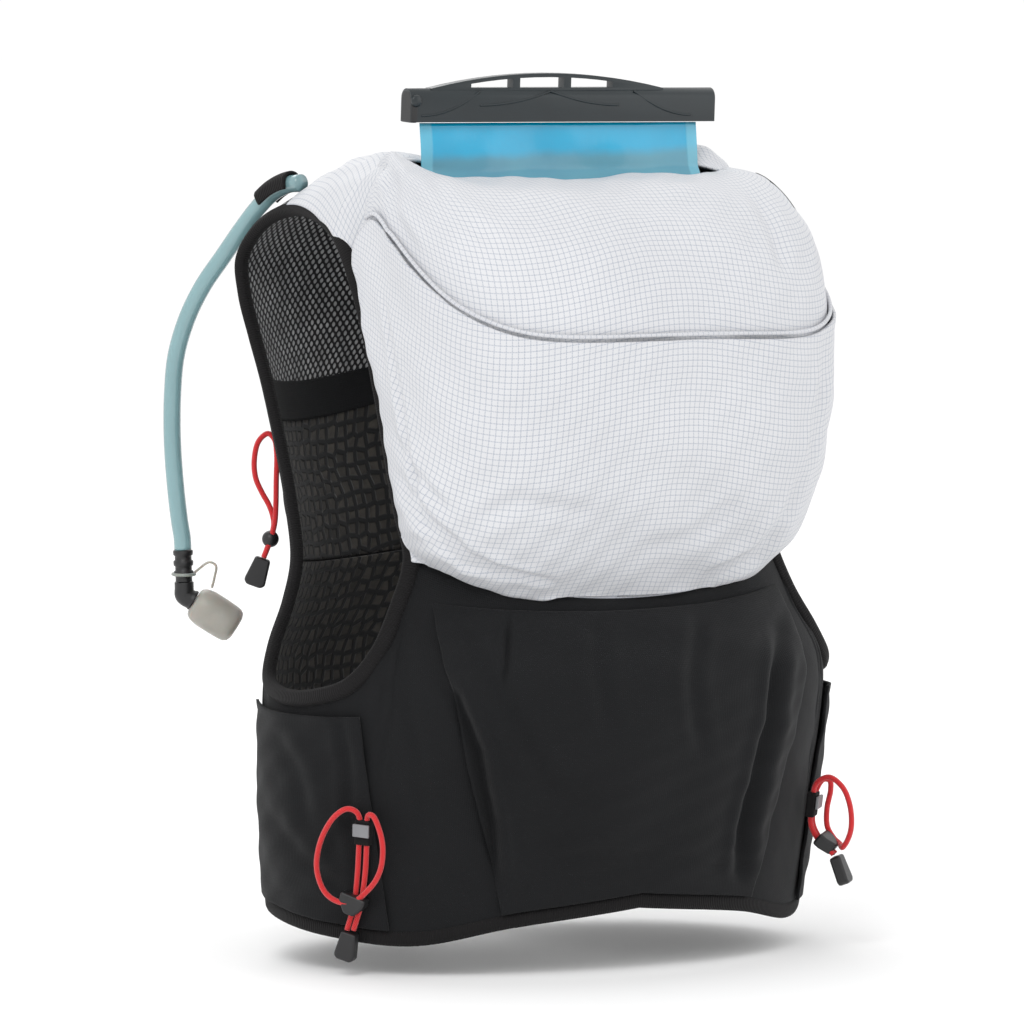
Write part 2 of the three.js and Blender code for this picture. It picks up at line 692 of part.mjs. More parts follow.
// A point of a layer over the pack, at a column and a height up the pack.
function layerPoint(layer, column, up) {
  let upper = 1;
  while (packRows[upper] < up) {
    upper += 1;
  }
  const share = (up - packRows[upper - 1]) / (packRows[upper] - packRows[upper - 1]);
  return mixPoints(layer[column][upper - 1], layer[column][upper], share);
}

// Thin piping along the pocket's mouth, just above its edge.
function pipingLine() {
  const raised = moved(packGrid, pipingDiameter / 2 + layerGap + buttGap, packCentre);
  return packPlaces.map(({ across, side }, column) => (
    layerPoint(raised, column, pocketMouthUp(across, side) + 0.012)
  )).slice(1, -1);
}

addPiece('pocket_piping', tube(pipingLine(), pipingDiameter, 5, 24), 'whiteCloth');

// Back panel

function backPanelGrid() {
  const low = backPanelMiddle[0].at;
  const high = backPanelMiddle[backPanelMiddle.length - 1].at;
  const middle = (up) => {
    const at = mix(low, high, up);
    return fromShares(0, -along(backPanelMiddle, at, 'reach'), at);
  };
  const inward = new THREE.Vector3(-0.5, 0.85, 0).multiplyScalar(bindingThickness / 3);
  const sideFoot = armholeBack[0].at - 0.02;
  const side = (up) => backEdge(-mix(sideFoot, armholeBack[armholeBack.length - 1].at, up) * vestLength).add(inward);
  const foot = (across) => {
    const start = middle(0);
    const end = side(0);
    const point = mixPoints(start, end, across);
    point.y = mix(start.y, end.y, across ** 2.2);
    return point;
  };
  const neck = strapInner(0).add(new THREE.Vector3(0, -spacedMeshWall / 2, 0));
  const head = (across) => {
    const turn = 0.55;
    if (across < turn) {
      const point = mixPoints(middle(1), neck, across / turn);
      point.y = mix(middle(1).y, neck.y, (across / turn) ** 2);
      return point;
    }
    const share = (across - turn) / (1 - turn);
    const point = mixPoints(neck, side(1), share);
    point.z += 2 * Math.sin(Math.PI * share);
    return point;
  };
  return steps(-1, 1, 10).map((place) => steps(0, 1, 6).map((up) => {
    const across = Math.abs(place);
    const point = foot(across).multiplyScalar(1 - up).addScaledVector(head(across), up);
    point.addScaledVector(middle(up), 1 - across).addScaledVector(side(up), across);
    point.addScaledVector(middle(0), -(1 - across) * (1 - up)).addScaledVector(side(0), -across * (1 - up));
    point.addScaledVector(middle(1), -(1 - across) * up).addScaledVector(side(1), -across * up);
    return mirrored(point, Math.sign(place) || 1);
  }));
}

addPiece('back_panel', cut(
  wall(backPanelGrid(), spacedMeshWall / 2, spacedMeshWall / 2, new THREE.Vector3(0, 0, -0.25 * vestLength)),
  ...armholeTools, neckTool,
), 'blackMesh');

// Bladder: a flat film bag that hangs between the back panel and the pack, open under its closure.
// behind is the distance from the back panel's middle to the bag's, in shares of bladderThickness.
const bladderSections = [
  { at: 0.455, behind: 0.42, thick: 0.14, width: 0.80 },
  { at: 0.425, behind: 0.56, thick: 0.52, width: 0.92 },
  { at: 0.340, behind: 0.80, thick: 1.0, width: 1.0 },
  { at: 0.200, behind: 0.80, thick: 1.0, width: 1.0 },
  { at: 0.080, behind: 0.58, thick: 0.58, width: 1.0 },
  { at: 0.010, behind: 0.36, thick: 0.20, width: 1.0 },
  { at: -0.040, behind: 0.34, thick: 0.12, width: 1.0 },
  { at: -0.098, behind: 0.24, thick: 0.12, width: 1.0 },
];
const closureTilt = 0.035;

function bladderRing(place, inset) {
  const section = (name) => along(bladderSections, place, name);
  const panel = -along(backPanelMiddle, Math.max(place, backPanelMiddle[5].at), 'reach') * chestHalfDepth;
  const middle = panel - section('behind') * bladderThickness;
  const halfWidth = section('width') * bladderWidth / 2 - inset;
  const halfThick = Math.max(section('thick') * bladderThickness / 2 - inset, 0.3);
  const tiltShare = THREE.MathUtils.clamp(1 - (place - bladderSections[7].at) / 0.15, 0, 1);
  return steps(0, 2 * Math.PI, 12).slice(0, -1).map((angle) => {
    const sideways = Math.sign(Math.cos(angle)) * Math.abs(Math.cos(angle)) ** 0.75;
    const deep = Math.sign(Math.sin(angle)) * Math.abs(Math.sin(angle)) ** 0.75;
    const x = halfWidth * sideways;
    return new THREE.Vector3(x, middle + halfThick * deep, -place * vestLength - closureTilt * tiltShare * x);
  });
}

const bladderPlaces = [0.455, 0.425, 0.35, 0.19, 0.08, 0.01, -0.098];
const bagOutside = loft(bladderPlaces.map((place) => bladderRing(place, 0)), false);
const bagPlaces = [0.445, ...bladderPlaces.slice(1, -1), -0.102];
const bagInside = loft(bagPlaces.map((place) => bladderRing(place, filmWall)), false);
addPiece('bladder', cut(bagOutside, bagInside), 'film');

// Closure: a slide bar over the bag's folded mouth, with an arched grip that has three windows.
const closure = new THREE.Group();
const bagTop = bladderRing(bladderSections[7].at, 0);
closure.position.set(0, (bagTop[3].y + bagTop[9].y) / 2, -bladderSections[7].at * vestLength + closureGap);
closure.rotation.y = closureTilt;
vest.add(closure);

function closureBar() {
  const section = new THREE.Shape();
  const half = closureDepth / 2;
  section.moveTo(-half, 0);
  section.lineTo(half, 0);
  section.absarc(0, closureHeight - half, half, 0, Math.PI, false);
  const bar = new THREE.ExtrudeGeometry(section, { depth: closureLength, bevelEnabled: false, curveSegments: 6 });
  bar.translate(0, 0, -closureLength / 2);
  bar.rotateX(Math.PI / 2);
  bar.rotateZ(Math.PI / 2);
  return bar;
}

// The grip's arch peaks a little to the wearer's left of the middle.
const gripReach = 72;
const gripShift = -9;
const gripWindows = [{ from: -0.66, to: -0.30 }, { from: -0.24, to: 0.14 }, { from: 0.20, to: 0.56 }];

const gripArch = (x) => handleHeight * (1 - (x / gripReach) ** 2);

function gripPlate(outline, depth) {
  const plate = slab(outline, depth);
  plate.rotateX(Math.PI / 2);
  return plate.translate(gripShift, 0, closureHeight);
}

function closureGrip() {
  const outline = new THREE.Shape();
  outline.moveTo(-gripReach, -handleWall);
  outline.lineTo(gripReach, -handleWall);
  steps(gripReach, -gripReach, 14).forEach((x) => outline.lineTo(x, gripArch(x)));
  return gripPlate(outline, closureDepth * 0.6);
}

function gripWindow({ from, to }) {
  const outline = new THREE.Shape();
  const start = from * gripReach;
  const end = to * gripReach;
  outline.moveTo(start, 0.3);
  outline.lineTo(end, 0.3);
  steps(end, start, 3).forEach((x) => outline.lineTo(x, gripArch(x) - handleWall * 0.7));
  return gripPlate(outline, closureDepth);
}

let grip = solid(closureGrip());
gripWindows.forEach((window) => {
  grip = grip.subtract(solid(gripWindow(window)));
});
addPiece('bladder_closure', geometryOf(solid(closureBar()).add(grip)), 'smokePlastic', closure);

// Hose: from under its loop on the left shoulder, out over the chest and down to the valve.
const hoseRoute = [
  [-111, 53, 4.6], [-113.5, 63, 3.2], [-116.5, 74, -1.5], [-120, 85, -10.5], [-124.5, 95.5, -23], [-130, 106, -38],
  [-138, 115, -55], [-144, 122, -73], [-149, 125, -93], [-151, 125.5, -114], [-152, 124, -139],
  [-152, 120.5, -164], [-151, 117.5, -184], [-150.3, 116.4, -191], [-150, 116, -198],
].map(([x, y, z]) => new THREE.Vector3(x, y, z));
const hoseCurve = new THREE.CatmullRomCurve3(hoseRoute, false, 'centripetal');
const hoseSteps = 16;

function hoseTube(clearance) {
  return tube(hoseRoute, hoseDiameter + 2 * clearance, 10, hoseSteps);
}

addPiece('hose', hoseTube(0), 'hose');

// The hose loop is a band that arches over the hose and is sewn down to the strap at both feet.
function hoseLoopGrid(start) {
  const middle = hoseLoopWidth / 2 / hoseCurve.getLength();
  const radius = hoseDiameter / 2 + layerGap;
  const profile = [[-1.5, -0.75], [-1.08, -0.35], [-1, 0.1], [-0.72, 0.72], [0, 1.02], [0.72, 0.72], [1, 0.1], [1.08, -0.3]];
  return steps(start, start + 2 * middle, 4).map((share) => {
    const point = hoseCurve.getPointAt(share);
    const onward = hoseCurve.getTangentAt(share);
    const outward = new THREE.Vector3(-0.25, 0.2, 1).cross(onward).normalize().negate().cross(onward);
    const lift = outward.z < 0 ? outward.negate() : outward;
    const sideways = lift.clone().normalize().cross(onward).normalize();
    return profile.map(([across, up]) => point.clone()
      .addScaledVector(sideways, across * radius)
      .addScaledVector(lift.clone().normalize(), up * radius));
  });
}

const strapAround = (side, extra) => wall(
  strapGrid(0, strapEnd, 9, 4, false, side),
  spacedMeshWall / 2 + extra,
  spacedMeshWall / 2 + extra,
  mirrored(chestCentre, side),
);
const loopWall = wall(hoseLoopGrid(0.03), hoseLoopWall, 0, hoseRoute[1].clone().add(new THREE.Vector3(0, 0, -20)));
addPiece('hose_loop', cut(loopWall, strapAround(-1, buttGap), armholeTools[0], hoseTube(buttGap)), 'binding');

// Fitting at the hose's end: a barbed sleeve with three rings, then an elbow into the valve.
const hoseEnd = hoseRoute[hoseRoute.length - 1];
const fittingStart = hoseEnd.clone().add(new THREE.Vector3(0, 0, -buttGap));

function turned(profile, segments) {
  const lathe = new THREE.LatheGeometry(profile.map(([r, y]) => new THREE.Vector2(r, y)), segments);
  return lathe;
}

function standing(geometry, from, direction) {
  const turn = new THREE.Quaternion().setFromUnitVectors(new THREE.Vector3(0, 1, 0), direction.clone().normalize());
  return geometry.applyQuaternion(turn).translate(from.x, from.y, from.z);
}

const ringStep = fittingLength / 6;
const barbs = steps(0, 5, 5).flatMap((index) => [
  [hoseDiameter / 2 + (index % 2 ? 0 : 0.6), index * ringStep],
  [hoseDiameter / 2 + (index % 2 ? 0 : 0.6), (index + 1) * ringStep],
]);
const fittingProfile = [[0, 0], ...barbs, [0, fittingLength]];
const downwards = new THREE.Vector3(0.02, -0.03, -1).normalize();
addPiece('hose_fitting', standing(turned(fittingProfile, 10), fittingStart, downwards), 'blackPlastic');

const elbowStart = fittingStart.clone().addScaledVector(downwards, fittingLength + buttGap);
const valveAxis = new THREE.Vector3(0.73, -0.42, -0.54).normalize();
const elbowBend = elbowStart.clone().addScaledVector(downwards, 7);
const valveStart = elbowBend.clone().addScaledVector(valveAxis, 6);
addPiece('valve_elbow', tube(
  [elbowStart, elbowStart.clone().addScaledVector(downwards, 3.5), elbowBend, valveStart], 10.5, 10, 6,
), 'blackPlastic');

const coverRound = 4;
const coverRadius = valveDiameter / 2;
const coverProfile = [
  [0, 0], [coverRadius * 0.62, 0], [coverRadius * 0.86, 2], [coverRadius, 6], [coverRadius, valveLength - coverRound],
  [coverRadius - 1.2, valveLength - 1.2], [coverRadius - coverRound, valveLength], [0, valveLength],
];
const coverStart = valveStart.clone().addScaledVector(valveAxis, buttGap);
addPiece('valve_cover', standing(turned(coverProfile, 14), coverStart, valveAxis), 'silicone');

// Leash: a thin strand from the fitting down to the valve cover.
const leashRoute = [
  [5.5, -3.2, -12], [12.5, -7.2, -6.5], [15.5, -9, -8.5], [15, -8.6, -14], [13.4, -8.2, -20.5],
].map(([x, y, z]) => fittingStart.clone().add(new THREE.Vector3(x, y, z)));
addPiece('valve_leash', tube(leashRoute, leashDiameter, 6, 10), 'silicone');

// Elastic cords at the waist. A cord's route is given from its keeper: across towards the wearer's
// right, down and out from the cloth.
const keeperTurns = { left: 0.338, right: 0.29 };
const keeperDown = 0.826;

const keeperSeat = layerGap + pocketLift + clothWall + 0.7;

function waistPlace(label, side) {
  const angle = keeperTurns[label] * Math.PI * side;
  const height = -keeperDown * vestLength;
  const origin = torso(angle, height);
  const onward = torso(angle + 0.02, height).sub(torso(angle - 0.02, height)).setZ(0).normalize();
  const outward = new THREE.Vector3(onward.y, -onward.x, 0);
  const lean = torso(angle, height - 10).sub(torso(angle, height + 10)).normalize();
  return new THREE.Matrix4().makeBasis(onward, lean, outward).setPosition(origin.addScaledVector(outward, keeperSeat));
}

const waistRoutes = {
  left: [
    [-8.5, 61, 3.4], [-4.7, 47, 3.4], [-3, 30, 3.3], [-2.4, 13, 3.2], [-1.9, 1, 3.2], [-3.6, -4.5, 4.4],
    [-8, -6.4, 6], [-14.7, -2.4, 7], [-22.3, 10.3, 7.4], [-25.2, 25.4, 7.2], [-22.9, 35.6, 7],
    [-18.8, 41.6, 7.2], [-13, 44.8, 7.6], [-6, 45.6, 7.8], [-1.5, 43.8, 7.6], [4, 38.7, 7],
    [9, 32.5, 6.8], [12.3, 24.3, 7], [12.9, 13, 7], [10, 2.7, 6.5], [6.2, -3, 5.2], [3.4, -3.4, 4.2],
    [1.9, 1, 3.2], [2, 13, 3.2], [1.4, 30, 3.3], [-0.9, 47, 3.4], [-4.8, 61, 3.4],
  ],
  right: [
    [-2, 34, 18.8], [-2, 31, 15], [-2, 27, 10], [-2, 19, 4.6], [-1.9, 13, 3.3], [-1.9, 1, 3.3],
    [-3.6, -5.5, 5], [-5, -9.2, 12], [-6, -3.8, 20.5], [-6.5, 6.5, 26], [-6.5, 18.4, 28], [-6, 26, 26.4],
    [-4.6, 29.6, 24], [-2, 29.6, 22.6], [2, 28.6, 20.6], [6.6, 26, 15.5], [7.6, 20, 11],
    [7.4, 10, 9.6], [7, -1, 10.5], [6, -6, 9.6], [3.8, -6.6, 6.4], [1.9, 1, 3.3], [1.9, 13, 3.3],
    [1.9, 19, 4.6], [1.9, 27, 10], [1.9, 31, 15], [1.9, 34, 18.8],
  ],
};
const waistEnds = {
  left: { hook: [-4.6, 46.5, 5.6], hookUp: [0.27, -1, 0], end: [-6.65, 62.2, 3.4], endUp: [0.2, -1, 0] },
  right: { hook: [0, 28.0, 13.9], hookUp: [0, -0.62, -0.78], end: [-0.05, 35.2, 19.8], endUp: [0, -0.89, -0.45] },
};
const waistSteps = 26;

function placedPoint(place, [across, down, out]) {
  return new THREE.Vector3(across, down, out).applyMatrix4(place);
}

function placedDirection(place, [across, down, out]) {
  return new THREE.Vector3(across, down, out).transformDirection(place);
}

function waistTube(label, place, clearance) {
  const route = waistRoutes[label].map((point) => placedPoint(place, point));
  return cordTube(route, cordDiameter, waistSteps, clearance);
}

function cordTube(route, diameter, count, clearance) {
  return tube(route, diameter + 2 * clearance, 8, count);
}

// A piece of hardware placed by its centre, its way up and the side that it faces.
function hardwareMatrix(centre, up, facing) {
  const away = facing.clone().addScaledVector(up, -facing.dot(up)).normalize();
  return new THREE.Matrix4().makeBasis(up.clone().cross(away), up, away).setPosition(centre);
}

function hookOutline() {
  const outline = new THREE.Shape();
  outline.moveTo(-hookWidth / 2, hookHeight / 2);
  outline.lineTo(-hookWidth / 2, hookHeight * 0.1);
  outline.lineTo(-hookWidth * 0.2, -hookHeight / 2);
  outline.lineTo(hookWidth * 0.2, -hookHeight / 2);
  outline.lineTo(hookWidth / 2, hookHeight * 0.1);
  outline.lineTo(hookWidth / 2, hookHeight / 2);
  return outline;
}

function cordEndOutline() {
  const outline = new THREE.Shape();
  outline.moveTo(-cordEndTopWidth / 2, 0);
  outline.lineTo(cordEndTopWidth / 2, 0);
  outline.lineTo(cordEndWidth / 2, -cordEndHeight + 2);
  outline.lineTo(cordEndWidth / 2 - 2, -cordEndHeight);
  outline.lineTo(-cordEndWidth / 2 + 2, -cordEndHeight);
  outline.lineTo(-cordEndWidth / 2, -cordEndHeight + 2);
  return outline;
}

function boxOutline(width, height) {
  const outline = new THREE.Shape();
  outline.moveTo(-width / 2, -height / 2);
  outline.lineTo(width / 2, -height / 2);
  outline.lineTo(width / 2, height / 2);
  outline.lineTo(-width / 2, height / 2);
  return outline;
}

sides.forEach(({ label, side }) => {
  const place = waistPlace(label, side);
  const outward = placedDirection(place, [0, 0, 1]);
  const upward = placedDirection(place, [0, -1, 0]);
  const cordTool = waistTube(label, place, cordClearance);
  const clothTool = sidePocketWall(side, buttGap);
  addPiece(`waist_cord_${label}`, waistTube(label, place, 0), 'redElastic');
  const keeperCentre = placedPoint(place, [0, keeperHeight / 2 - 0.5, keeperDepth / 2 + 0.4]);
  const keeper = slab(boxOutline(keeperWidth, keeperHeight), keeperDepth);
  keeper.applyMatrix4(hardwareMatrix(keeperCentre, upward, outward));
  addPiece(`cord_keeper_${label}`, cut(keeper, cordTool, clothTool), 'binding');
  const bandCentre = placedPoint(place, [0, keeperHeight / 2 - 1.5, keeperDepth + 0.4 + layerGap + keeperBandWall / 2]);
  const band = slab(boxOutline(keeperWidth, keeperBandHeight), keeperBandWall);
  band.applyMatrix4(hardwareMatrix(bandCentre, upward, outward));
  addPiece(`keeper_band_${label}`, cut(band, cordTool), 'greyBand');
  const { hook, hookUp, end, endUp } = waistEnds[label];
  const hookSlab = slab(hookOutline(), hookDepth);
  const hookTurn = hardwareMatrix(placedPoint(place, hook), placedDirection(place, hookUp), outward);
  addPiece(`cord_hook_${label}`, cut(hookSlab.applyMatrix4(hookTurn), cordTool, clothTool), 'blackPlastic');
  const endSlab = slab(cordEndOutline(), cordEndDepth);
  const endTurn = hardwareMatrix(placedPoint(place, end), placedDirection(place, endUp), outward);
  addPiece(`cord_end_${label}`, endSlab.applyMatrix4(endTurn), 'blackPlastic');
});

// Chest cord: a loop that stands out from the left front, with its lock and its end.
const chestRow = 7.75;
const chestAcross = 0.2;
const chestSeat = strapPoint(chestRow, chestAcross);
const chestPlace = new THREE.Matrix4().makeBasis(
  new THREE.Vector3(0.5, 0.866, 0),
  new THREE.Vector3(0, 0, -1),
  new THREE.Vector3(-0.866, 0.5, 0),
).setPosition(mirrored(chestSeat, -1));
const chestRoute = [
  [-6, 61, 11.4], [-6, 51, 7.6], [-6, 42, 5.4], [-5.5, 33, 4.8], [-4, 20, 4.6], [-2, 4, 4.4], [-1.5, -3, 5.6],
  [-0.5, -6, 9], [0, -2, 14], [0, 8, 16.5], [-0.5, 18, 15.8], [-1, 26, 12.4], [-1.5, 32, 9], [-2, 37, 7],
  [-2, 43, 6], [-2, 51, 7.8], [-2, 61, 11.4],
].map((point) => placedPoint(chestPlace, point));
const chestSteps = 16;
addPiece('chest_cord', cordTube(chestRoute, cordDiameter, chestSteps, 0), 'redElastic');
const chestTool = cordTube(chestRoute, cordDiameter, chestSteps, cordClearance);
const chestLock = new THREE.SphereGeometry(hookHeight * 0.42, 8, 5);
const chestLockCentre = placedPoint(chestPlace, [-4, 51, 7.8]);
chestLock.translate(chestLockCentre.x, chestLockCentre.y, chestLockCentre.z);
addPiece('chest_hook', cut(chestLock, chestTool), 'blackPlastic');
const chestEnd = slab(cordEndOutline(), cordEndDepth).applyMatrix4(hardwareMatrix(
  placedPoint(chestPlace, [-4, 61.5, 11.7]),
  placedDirection(chestPlace, [0, -0.94, -0.34]),
  placedDirection(chestPlace, [-1, 0, 0]),
));
addPiece('chest_cord_end', chestEnd, 'blackPlastic');

// Chest tie: a plain elastic cord across the front opening.
const tieRow = 7.8;
const tieOut = new THREE.Vector3(0, spacedMeshWall / 2 + layerGap + cordDiameter / 2, 0);
const tieHalf = [0.5, 0.68, 0.94].map((across) => strapPoint(tieRow, across).add(tieOut));
tieHalf[2].y = strapInner(tieRow).y + (bindingThickness + cordDiameter) / 2 + layerGap;
const tieLeft = tieHalf.map((point) => mirrored(point, -1));
addPiece('chest_tie', cordTube([...tieLeft, ...tieHalf.reverse()], cordDiameter, 8, 0), 'redElastic');

// Side zip on the right of the pack: a tape, its slider, and a cord pull with a tab.
const zipColumns = [packPlaces.length - 5, packPlaces.length - 4];
const zipHeights = [0.725, 0.78, 0.87, 0.93];

function zipLayer(raise) {
  const layer = moved(packGrid, raise, packCentre);
  return [0.3, 0.7].map((share) => zipHeights.map((up) => (
    mixPoints(layerPoint(layer, zipColumns[0], up), layerPoint(layer, zipColumns[1], up), share)
  )));
}

addPiece('zip_tape', wallBetween(zipLayer(layerGap + clothWall), zipLayer(layerGap)), 'blackCloth');
const zipFoot = zipLayer(layerGap + clothWall);
const sliderSeat = mixPoints(zipFoot[0][0], zipFoot[1][0], 0.5);
const sliderUp = zipFoot[0][1].clone().sub(zipFoot[0][0]).normalize();
const sliderOut = outwardFrom(sliderSeat);
const sliderDepth = 3;
const sliderCentre = sliderSeat.clone().addScaledVector(sliderOut, sliderDepth / 2 + layerGap).addScaledVector(sliderUp, 6);
addPiece('zip_slider', slab(boxOutline(5, 9), sliderDepth).applyMatrix4(
  hardwareMatrix(sliderCentre, sliderUp, sliderOut),
), 'blackPlastic');
const pullStart = sliderCentre.clone().addScaledVector(sliderOut, sliderDepth / 2 + zipCordDiameter / 2 + buttGap);
const pullRoute = [[0, 2], [0.6, -3], [1, -12], [1.2, -24], [1.2, -38]].map(([out, rise]) => (
  pullStart.clone().addScaledVector(sliderOut, out).add(new THREE.Vector3(0, 0, rise))
));
addPiece('zip_pull_cord', cordTube(pullRoute, zipCordDiameter, 7, 0), 'blackCord');
const tabCentre = pullRoute[4].clone().add(new THREE.Vector3(0, 0, -buttGap));
const tab = new THREE.Shape();
tab.moveTo(-1.8, 0);
tab.lineTo(1.8, 0);
tab.lineTo(4, -9);
tab.lineTo(2, -12);
tab.lineTo(-2, -12);
tab.lineTo(-4, -9);
addPiece('zip_pull_tab', slab(tab, 3.4).applyMatrix4(
  hardwareMatrix(tabCentre, new THREE.Vector3(0, 0, 1), sliderOut),
), 'blackPlastic');

export default vest;
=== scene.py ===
"""The running hydration vest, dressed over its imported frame. Shapes are worked out in millimetres."""

import bmesh
import bpy
import numpy as np
from mathutils import Matrix, Vector


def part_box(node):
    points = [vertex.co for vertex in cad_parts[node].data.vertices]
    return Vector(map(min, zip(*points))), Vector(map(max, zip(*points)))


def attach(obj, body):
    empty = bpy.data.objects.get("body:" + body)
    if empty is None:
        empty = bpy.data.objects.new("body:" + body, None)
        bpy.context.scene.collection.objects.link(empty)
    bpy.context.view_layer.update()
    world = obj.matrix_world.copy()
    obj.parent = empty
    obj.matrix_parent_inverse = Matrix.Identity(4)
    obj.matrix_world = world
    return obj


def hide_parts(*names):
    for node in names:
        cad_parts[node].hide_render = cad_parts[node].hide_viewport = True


bl_info = {
    "name": "Running hydration vest",
    "version": (1, 0, 0),
    "blender": (4, 5, 0),
    "location": "3D View > Sidebar > Vest",
    "description": "Makes the cloth, the bladder, the hose and the cords of a running vest",
    "category": "Object",
}

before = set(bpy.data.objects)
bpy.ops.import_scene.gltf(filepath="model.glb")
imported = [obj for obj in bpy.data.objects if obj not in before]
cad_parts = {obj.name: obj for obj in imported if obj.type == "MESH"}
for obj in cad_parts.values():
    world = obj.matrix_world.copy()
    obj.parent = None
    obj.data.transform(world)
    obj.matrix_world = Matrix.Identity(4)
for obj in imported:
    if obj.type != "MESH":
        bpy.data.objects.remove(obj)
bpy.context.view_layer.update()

MM = 0.001

# Sizes of the frame, in millimetres
LENGTH = 395
CHEST_WIDTH = 160
CHEST_DEPTH = 120
PACK_WIDTH = 123
PACK_REACH = 160
CLOTH = 1.6
PACK_CLOTH = 1.4
SPACED_MESH = 4.0
LAYER_GAP = 0.6
BUTT_GAP = 0.4
POCKET_LIFT = 0.7
BINDING_WIDTH = 9.0
BINDING_THICKNESS = 7.0
NECK_BINDING_WIDTH = 7.0
HEM_HEIGHT = 8.0
HEM_THICKNESS = 3.2
HOSE_DIAMETER = 9.5
CORD_DIAMETER = 3.0
ZIP_CORD_DIAMETER = 2.2
STRAP_END = 7.35
TUCK = 0.74
PACK_LEAN = 9.0

# Points between two points of a spline before it is made even
SPLINE_STEPS = 24
SIDES = (("left", -1), ("right", 1))


class Table:
    """Rows of named columns; the first is the place, and a smooth cubic runs through the rows."""

    def __init__(self, names, *rows):
        columns = np.array(sorted(rows), dtype=float).T
        self.columns = dict(zip(names.split(), columns))
        self.places = columns[0]

    def along(self, at, name):
        """Hermite cubic between two rows, whose slopes are those between each row's neighbours."""
        x = self.places
        y = self.columns[name]
        slope = np.empty_like(y)
        slope[1:-1] = (y[2:] - y[:-2]) / (x[2:] - x[:-2])
        slope[0] = (y[1] - y[0]) / (x[1] - x[0])
        slope[-1] = (y[-1] - y[-2]) / (x[-1] - x[-2])
        at = np.asarray(at, dtype=float)
        low = np.clip(np.searchsorted(x, at, side="right") - 1, 0, len(x) - 2)
        span = x[low + 1] - x[low]
        t = np.clip((at - x[low]) / span, 0, 1)
        rise = y[low] * (2 * t**3 - 3 * t**2 + 1) + y[low + 1] * (3 * t**2 - 2 * t**3)
        return rise + slope[low] * span * (t**3 - 2 * t**2 + t) + slope[low + 1] * span * (t**3 - t**2)


TORSO = Table(
    "at width depth centre",
    (0.40, 0.80, 0.80, -0.07),
    (0.476, 0.838, 0.825, -0.083),
    (0.56, 0.91, 0.90, -0.11),
    (0.645, 1.0, 0.98, -0.15),
    (0.835, 0.981, 0.958, -0.083),
    (1.04, 0.95, 0.91, -0.03),
)
STRAP = Table(
    "row out ahead down neck_out neck_ahead neck_down crown lift",
    (0, 0.769, -0.10, 0.051, 0.41, -0.17, -0.035, 3, 18),
    (1, 0.750, 0.167, 0.023, 0.39, 0.13, -0.04, 5, 8),
    (2, 0.744, 0.417, 0.023, 0.37, 0.42, -0.02, 6, 0.5),
    (3, 0.781, 0.600, 0.048, 0.35, 0.65, 0.02, 7, 0),
    (4, 0.812, 0.710, 0.095, 0.32, 0.80, 0.08, 8, 0),
    (5, 0.812, 0.692, 0.142, 0.29, 0.88, 0.13, 10, 0),
    (6, 0.794, 0.640, 0.200, 0.24, 0.93, 0.20, 12, 0),
    (7, 0.787, 0.540, 0.263, 0.19, 0.96, 0.265, 14, 0),
    (8, 0.794, 0.375, 0.362, 0.12, 0.90, 0.36, 20, 0),
    (9, 0.800, 0.292, 0.418, 0.085, 0.82, 0.425, 20, 0),
    (10, 0.812, 0.208, 0.496, 0.075, 0.745, 0.506, 20, 0),
)
UNDERARM = (
    (0.607, 0.552),
    (0.594, 0.608),
    (0.570, 0.653),
    (0.503, 0.668),
    (0.430, 0.663),
    (0.372, 0.643),
    (0.340, 0.603),
    (0.322, 0.544),
)
ARMHOLE_BACK = Table(
    "at out ahead",
    (0.476, 0.694, -0.552),
    (0.392, 0.706, -0.467),
    (0.296, 0.725, -0.408),
    (0.187, 0.7375, -0.30),
    (0.111, 0.7625, -0.235),
    (0.051, 0.769, -0.10),
)
ARMHOLE_FOOT = 0.476
ARMHOLE_HEAD = 0.051
PACK = Table(
    "at centre_down side_down width centre_reach side_reach power",
    (0.00, 0.532, 0.484, 0.86, 0.681, 0.447, 2.1),
    (0.09, 0.481, 0.446, 0.925, 0.80, 0.50, 2.2),
    (0.19, 0.420, 0.405, 0.955, 0.885, 0.53, 2.4),
    (0.33, 0.334, 0.329, 0.98, 0.955, 0.54, 2.6),
    (0.47, 0.251, 0.248, 0.995, 0.985, 0.525, 2.7),
    (0.61, 0.167, 0.165, 1.005, 1.0, 0.49, 2.7),
    (0.73, 0.094, 0.084, 1.005, 0.965, 0.435, 2.7),
    (0.83, 0.030, 0.014, 0.975, 0.865, 0.36, 2.6),
    (0.91, -0.018, -0.028, 0.915, 0.68, 0.28, 2.6),
    (0.97, -0.030, -0.044, 0.835, 0.44, 0.205, 2.8),
    (1.00, -0.014, -0.040, 0.815, 0.315, 0.165, 3.2),
)
PACK_SEAM_DOWN = 0.532
PACK_FOOT = 0.09
MOUTH = Table(
    "at up",
    (0.0, 0.600),
    (0.30, 0.600),
    (0.50, 0.640),
    (0.65, 0.700),
    (0.80, 0.780),
    (0.97, 0.860),
)
MOUTH_SLANT = 0.035
PANEL_MIDDLE = Table(
    "at reach",
    (0.540, 0.885),
    (0.400, 0.80),
    (0.250, 0.715),
    (0.110, 0.535),
    (0.020, 0.33),
    (-0.035, 0.215),
)
PANEL_FOOT = 0.540
PANEL_HEAD = -0.035
HEM = Table(
    "at down",
    (0.0, 0.955),
    (0.15, 0.975),
    (0.27, 1.0),
    (0.40, 0.993),
    (0.60, 0.975),
    (0.95, 0.972),
)
